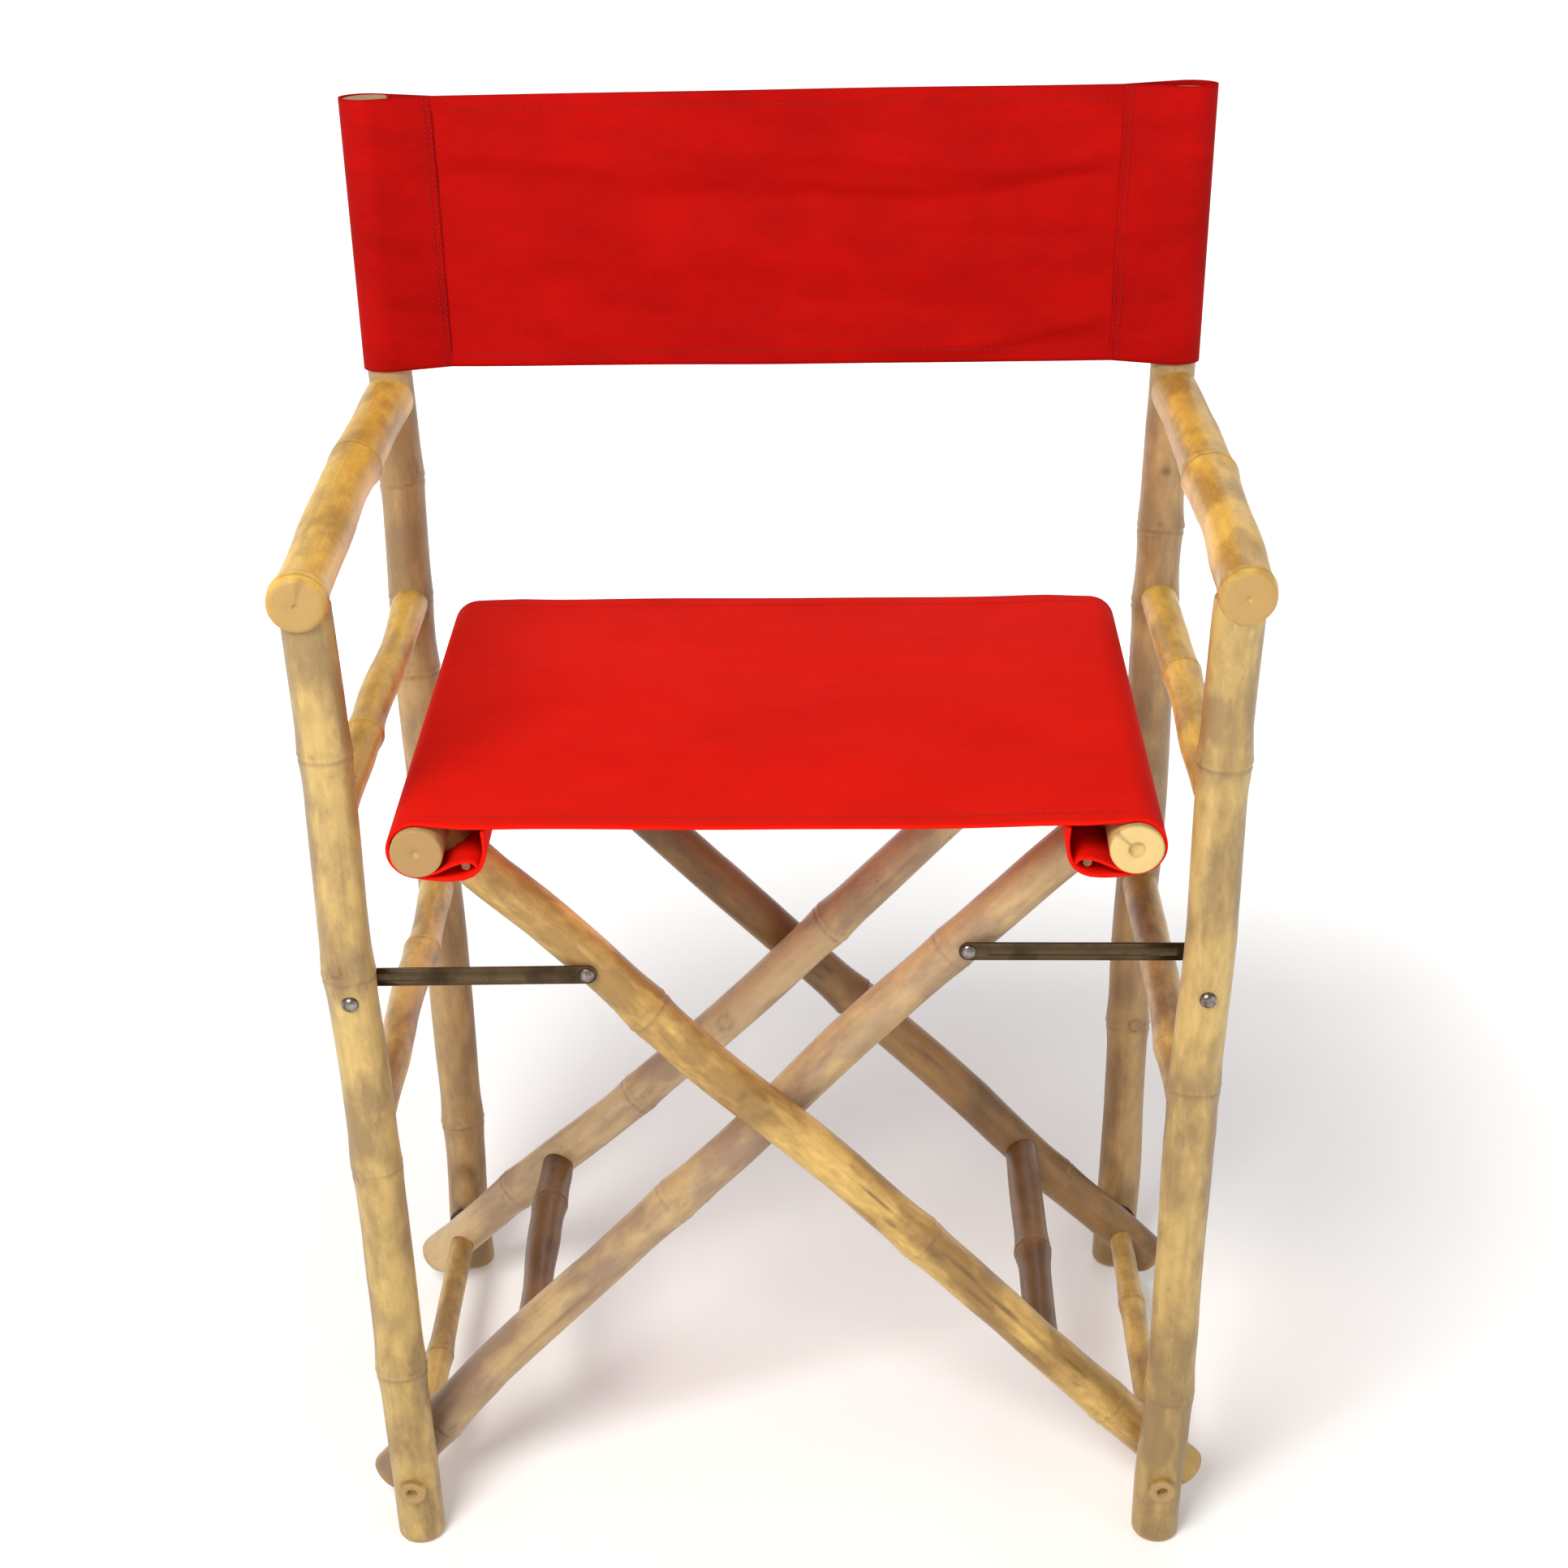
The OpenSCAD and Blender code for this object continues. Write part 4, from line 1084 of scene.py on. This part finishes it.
# %% Tucks of the hem
# The cloth's raw edge comes back over the stick and ends pinched under the rail.
PINCHED = -SLEEVE_R + SEAT_T
TUCK = [(0.003, PINCHED + 0.0002), (-0.006, PINCHED + 0.0006), (-0.014, -SLEEVE_R + 0.0058),
        (-0.021, -0.0082), (-0.028, -0.0058), (-0.033, -0.0052), (-0.0365, -0.0075), (-0.0372, -0.0100)]
for side, frame_name in ((-1, "outer"), (1, "inner")):
    name = SIDE_NAME[side]
    smooth = [(side * (RAIL.x + x), RAIL.z + z) for x, z in TUCK]
    tuck_profile, tuck_across = resample(smooth, 0.0016)
    for _ in range(6):
        tuck_profile[1:-1] = (tuck_profile[:-2] + 2 * tuck_profile[1:-1] + tuck_profile[2:]) / 4
    grid = np.zeros((len(tuck_profile), len(seat_run), 3))
    grid[..., 0] = tuck_profile[:, 0][:, None]
    grid[..., 1] = seat_run[None, :]
    grid[..., 2] = tuck_profile[:, 1][:, None]
    clear = np.ones(grid.shape[:2], bool)
    for place in ("front", "rear"):
        a, b = leg_line(frame_name, place)
        away, along = distance_to_line(grid, a, b)
        clear &= np.linalg.norm(away, axis=2) > SLOT_R
    tuck_piece = cloth_sheet(f"hem_tuck_{name}", grid, tuck_across, seat_run, keep=whole_cells(clear))
    finish_piece(tuck_piece, SEAT_RED, f"{frame_name}_x_frame", "red_canvas")

# %% Hem sticks
STICK_END = (0.0003, 0.0003, 0.0006)
for side, frame_name in ((-1, "outer"), (1, "inner")):
    name = SIDE_NAME[side]
    x, z = side * (RAIL.x - STICK_IN), RAIL.z - STICK_DROP
    near_leg, far_leg = (FRONT_Y + (OUTER_Y[p] if side < 0 else INNER_Y[p][2]) for p in ("front", "rear"))
    gap = LEG_R + 0.0015
    spans = [(seat_low.y + 0.008, near_leg - gap), (near_leg + gap, far_leg - gap),
             (far_leg + gap, seat_high.y - 0.001)]
    for number, (y1, y2) in enumerate(spans):
        stick = make_pole(f"hem_stick_{name}_{number}", straight((x, y1, z), (x, y2, z)), STICK_R, (), (),
                          STICK_END, STICK_END, seed=90 + number + side, sway=(0, 0), swell=0.0001, knobbly=0)
        finish_piece(stick, PALE, f"{frame_name}_x_frame", "bamboo_pole")

# %% [markdown]
# ## Back
# The back slides over the posts on two sleeves, each closed by a seam beside the post. When
# the chair folds, the sleeves stay on their posts, and the back is three pieces that meet under
# the seam stitches.

# %% Back frame of reference
BACK_LOW, BACK_HIGH = 0.7166, {-1: 0.9012, 1: 0.9040}
SEAM_OUT = 0.045
SLEEVE_T = 0.0011
left_low, left_high = Vector(post_point(-1, BACK_LOW)), Vector(post_point(-1, BACK_HIGH[-1]))
right_low, right_high = Vector(post_point(1, BACK_LOW)), Vector(post_point(1, BACK_HIGH[1]))
POST_SPANS = ((-1, left_low, left_high), (1, right_low, right_high))
back_normal = Vector((0, -math.cos(POST_LEAN), math.sin(POST_LEAN)))
HEIGHT_STEPS = 62
rise = np.linspace(0.0015, 0.9985, HEIGHT_STEPS)
sleeve_height = (left_high - left_low).length
run_up = rise * sleeve_height


def crumple(rng, across, up, amount):
    """Long shallow wrinkles that run mostly across the panel."""
    field = np.zeros((len(across), len(up)))
    for _ in range(9):
        level = rng.uniform(0.1, 0.9) * up[-1]
        slope = rng.uniform(-0.10, 0.10)
        width = rng.uniform(0.006, 0.016)
        centre = rng.uniform(0, across[-1])
        reach = rng.uniform(0.06, 0.20)
        line = up[None, :] - level - slope * (across - centre)[:, None] - 0.004 * np.sin(across * 31)[:, None]
        fade = np.exp(-((across - centre) / reach) ** 2)[:, None]
        field += amount * rng.uniform(-1, 1) * fade * np.exp(-(line / width) ** 2)
    return field


# %% Sleeves
def sleeve_profile():
    """Round the post from the seam behind to the seam in front, as (inward, outward of the panel)."""
    r = POST_R + SLEEVE_T
    turn = math.degrees(math.acos(r / SEAM_OUT))
    seam_gap = 0.0004
    return [(SEAM_OUT, -seam_gap)] + arc((0, 0), r, -turn, -360 + turn, 60) + [(SEAM_OUT, seam_gap)]


sleeve_points, sleeve_across = resample(sleeve_profile(), 0.0022)
for side, low, high in POST_SPANS:
    name = SIDE_NAME[side]
    rng = np.random.default_rng(31 + side)
    inward_way = Vector((-side, 0, 0))
    base = np.array([low.lerp(high, float(t)) for t in rise])
    slack = crumple(rng, sleeve_across, run_up, 0.0006)
    inward, outward_by = sleeve_points[:, 0], sleeve_points[:, 1]
    loose = np.clip((inward - 0.004) / 0.02, 0, 1) * np.clip((SEAM_OUT - inward) / 0.01, 0, 1)
    puffed = outward_by[:, None] + (np.sign(outward_by) * loose)[:, None] * slack
    grid = (base[None, :, :] + inward[:, None, None] * np.array(inward_way)
            + puffed[..., None] * np.array(back_normal))
    sleeve = cloth_sheet(f"back_sleeve_{name}", grid, sleeve_across, run_up, SLEEVE_T)
    # The sleeve's darker red is painted shade.
    finish_piece(sleeve, SLEEVE_RED_SHADED, f"{name}_side_frame", "red_canvas")

# %% Panel
LAP = 0.004
panel_low = (left_low + Vector((SEAM_OUT - LAP, 0, 0)), right_low - Vector((SEAM_OUT - LAP, 0, 0)))
panel_high = (left_high + Vector((SEAM_OUT - LAP, 0, 0)), right_high - Vector((SEAM_OUT - LAP, 0, 0)))
PANEL_STEPS = 150
share = np.linspace(0, 1, PANEL_STEPS)
panel_width = (panel_low[1] - panel_low[0]).length
panel_across = share * panel_width
rng = np.random.default_rng(5)
rumple = crumple(rng, panel_across, run_up, 0.0060) + crumple(rng, panel_across, run_up, 0.0034)
rumple += soft_field(rng, panel_across, run_up, [(0.0010, 0.34, 0.21), (0.0006, 0.19, 0.12)])
quiet = np.clip(np.minimum(share, 1 - share) / 0.05, 0, 1)[:, None]
panel_grid = np.zeros((PANEL_STEPS, HEIGHT_STEPS, 3))
for j, t in enumerate(rise):
    start = panel_low[0].lerp(panel_high[0], float(t))
    stop = panel_low[1].lerp(panel_high[1], float(t))
    panel_grid[:, j, :] = np.array(start)[None, :] + share[:, None] * np.array(stop - start)[None, :]
edge = np.minimum(run_up, run_up[-1] - run_up)
hem = HEM_HEIGHT / (1 + np.exp((edge - 0.011) / HEM_BLUR))
belly = -0.003 * np.sin(math.pi * share)[:, None] * np.ones((1, HEIGHT_STEPS))
panel_grid += ((rumple * quiet + hem[None, :] + belly)[..., None]) * np.array(back_normal)
droop = 0.0022 * np.sin(math.pi * share)[:, None] * (1 - rise)[None, :]
panel_grid[..., 2] += droop * -0.5
panel = cloth_sheet("back_panel", panel_grid, panel_across, run_up)
# The panel's darker red is painted shade.
finish_piece(panel, BACK_RED_SHADED, "left_side_frame", "red_canvas", "back_cloth")
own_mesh(panel)

# %% [markdown]
# ## Stitches
# A seam is one small stitch repeated along a line, so Geometry Nodes place it. The tree takes the
# line, the pitch and the size of a stitch, turns each stitch along the line, makes the copies
# real and gives them the thread.


# %% Stitch tree
def build_stitch_tree():
    tree = bpy.data.node_groups.new("Stitch row", "GeometryNodeTree")
    face = tree.interface
    face.new_socket("Geometry", in_out="INPUT", socket_type="NodeSocketGeometry")
    for label, value in (("Pitch", 0.0035), ("Stitch Length", 0.0026), ("Thread Radius", 0.00045)):
        socket = face.new_socket(label, in_out="INPUT", socket_type="NodeSocketFloat")
        socket.default_value = value
    face.new_socket("Thread", in_out="INPUT", socket_type="NodeSocketMaterial")
    face.new_socket("Geometry", in_out="OUTPUT", socket_type="NodeSocketGeometry")
    given, result = tree.nodes.new("NodeGroupInput"), tree.nodes.new("NodeGroupOutput")
    line = tree.nodes.new("GeometryNodeMeshToCurve")
    even = add(tree, "GeometryNodeCurveToPoints", mode="LENGTH")
    bead = add(tree, "GeometryNodeMeshUVSphere", Segments=6, Rings=4, Radius=1.0)
    size = tree.nodes.new("ShaderNodeCombineXYZ")
    join(tree, calculate(tree, "MULTIPLY", given.outputs["Stitch Length"], 0.5), size.inputs["Z"])
    shape = tree.nodes.new("GeometryNodeTransform")
    copies = tree.nodes.new("GeometryNodeInstanceOnPoints")
    real = tree.nodes.new("GeometryNodeRealizeInstances")
    finish = tree.nodes.new("GeometryNodeSetMaterial")
    for source, out, target, into in (
            (given, "Geometry", line, "Mesh"), (line, "Curve", even, "Curve"),
            (given, "Pitch", even, "Length"), (given, "Thread Radius", size, "X"),
            (given, "Thread Radius", size, "Y"), (bead, "Mesh", shape, "Geometry"),
            (size, "Vector", shape, "Scale"), (even, "Points", copies, "Points"),
            (shape, "Geometry", copies, "Instance"), (even, "Rotation", copies, "Rotation"),
            (copies, "Instances", real, "Geometry"), (real, "Geometry", finish, "Geometry"),
            (given, "Thread", finish, "Material"), (finish, "Geometry", result, "Geometry")):
        join(tree, source.outputs[out], target.inputs[into])
    return tree


stitch_tree = build_stitch_tree()


def stitch_rows(name, rows, pitch=0.0035):
    """Stitches along polylines, as one plain mesh."""
    vertices, edges = [], []
    for row in rows:
        start = len(vertices)
        vertices += [tuple(p) for p in row]
        edges += [(start + k, start + k + 1) for k in range(len(row) - 1)]
    mesh = bpy.data.meshes.new(name)
    mesh.from_pydata(vertices, edges, [])
    piece = placed(name, mesh)
    modifier = piece.modifiers.new("stitches", "NODES")
    modifier.node_group = stitch_tree
    sockets = {item.name: item.identifier for item in stitch_tree.interface.items_tree
               if item.in_out == "INPUT"}
    modifier[sockets["Pitch"]] = pitch
    modifier[sockets["Thread"]] = THREAD
    piece = bake_modifiers(piece)
    piece.data.shade_smooth()
    print(name, "has", len(piece.data.polygons), "faces")
    return piece


# %% Rows of stitches
STAND = CLOTH_T / 2 + 0.0001
top_rows = np.where((seat_profile[:, 1] > RAIL.z + RAIL_R * 0.95) & (np.abs(seat_profile[:, 0]) < RAIL.x))[0]
SEAT_STAND = SEAT_T / 2 + 0.00005
seat_rows = [seat_grid[top_rows, column] + np.array([0, 0, SEAT_STAND]) for column in (4, len(seat_run) - 5)]
seat_stitches = stitch_rows("seat_stitches", seat_rows)
seat_stitches.data.materials.clear()
seat_stitches.data.materials.append(THREAD)
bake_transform(seat_stitches)

normal = np.array(back_normal)
HEM_IN = 0.010
hem_columns = [int(np.argmin(np.abs(run_up - level))) for level in (HEM_IN, run_up[-1] - HEM_IN)]
hem_rows = [panel_grid[4:-4, column] + normal * face * STAND for column in hem_columns for face in (-1, 1)]
hem_stitches = stitch_rows("back_hem_stitches", hem_rows)
finish_piece(hem_stitches, THREAD, "left_side_frame", "red_canvas")
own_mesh(hem_stitches)
for side, low, high in POST_SPANS:
    name = SIDE_NAME[side]
    seam_rows = []
    for inward_by in (SEAM_OUT - 0.0015, SEAM_OUT - 0.0055):
        for face in (-1, 1):
            lift = normal * face * (0.0009 + STAND + (SEAM_OUT - inward_by) * 0.38)
            line = np.array([low.lerp(high, float(t)) for t in np.linspace(0.01, 0.99, 40)])
            seam_rows.append(line + np.array([-side * inward_by, 0, 0]) + lift)
    seam = stitch_rows(f"back_seam_stitches_{name}", seam_rows)
    finish_piece(seam, THREAD, f"{name}_side_frame", "red_canvas")

# %% [markdown]
# ## Light and floor
# A plain pale floor and large soft lamps show the object without telling the viewer anything
# else. The key stands high on the left, a wide lamp fills from the right, and one behind lifts
# the edges of the back.

# %% Floor
FLOOR_HALF = 60.0
floor_mesh = bpy.data.meshes.new("floor")
floor_mesh.from_pydata([(-FLOOR_HALF, -FLOOR_HALF, 0), (FLOOR_HALF, -FLOOR_HALF, 0),
                        (FLOOR_HALF, FLOOR_HALF, 0), (-FLOOR_HALF, FLOOR_HALF, 0)], [], [(0, 1, 2, 3)])
floor = placed("floor", floor_mesh)
floor_finish, floor_tree, floor_shader = new_material("Pale floor")
floor_shader.inputs["Base Color"].default_value = (0.93, 0.93, 0.92, 1)
floor_shader.inputs["Roughness"].default_value = 0.85
floor_shader.inputs["Emission Color"].default_value = (1, 1, 1, 1)
place = add(floor_tree, "ShaderNodeTexCoord").outputs["Object"]
distance = add(floor_tree, "ShaderNodeVectorMath", operation="LENGTH")
join(floor_tree, place, distance.inputs[0])
glow = add(floor_tree, "ShaderNodeMapRange", interpolation_type="SMOOTHSTEP")
join(floor_tree, distance.outputs["Value"], glow.inputs["Value"])
for socket, value in {"From Min": 0.2, "From Max": 1.6, "To Min": 0.12, "To Max": 0.85}.items():
    glow.inputs[socket].default_value = value
join(floor_tree, glow.outputs["Result"], floor_shader.inputs["Emission Strength"])
floor_mesh.materials.append(floor_finish)


# %% Lamps
def lamp(name, place, aim, size, power, colour=(1, 1, 1)):
    """A round soft lamp at place, turned towards aim."""
    light = bpy.data.lights.new(name, "AREA")
    light.shape = "DISK"
    light.size = size
    light.energy = power
    light.color = colour
    holder = placed(name, light)
    holder.location = place
    holder.rotation_euler = (Vector(aim) - Vector(place)).to_track_quat("-Z", "Y").to_euler()


lamp("key", (-0.85, -1.75, 2.35), (0, -0.1, 0.45), 1.2, 68, (1.0, 0.98, 0.95))
lamp("fill", (2.2, -1.8, 1.3), (0, 0, 0.4), 1.8, 9)
lamp("back", (0.6, 2.4, 2.6), (0, 0, 0.6), 1.6, 12)
world = bpy.data.worlds.new("studio")
bpy.context.scene.world = world
world.use_nodes = True
sky = world.node_tree
sky.nodes["Background"].inputs["Color"].default_value = (0.99, 0.99, 1.0, 1)
direction = sky.nodes.new("ShaderNodeTexCoord").outputs["Generated"]
height = sky.nodes.new("ShaderNodeSeparateXYZ")
join(sky, direction, height.inputs["Vector"])
fade = add(sky, "ShaderNodeMapRange", interpolation_type="SMOOTHSTEP")
join(sky, height.outputs["Z"], fade.inputs["Value"])
for socket, value in {"From Min": 0.10, "From Max": 0.42, "To Min": 1.0, "To Max": 0.31}.items():
    fade.inputs[socket].default_value = value
join(sky, fade.outputs["Result"], sky.nodes["Background"].inputs["Strength"])
bpy.context.scene.view_settings.view_transform = "Standard"
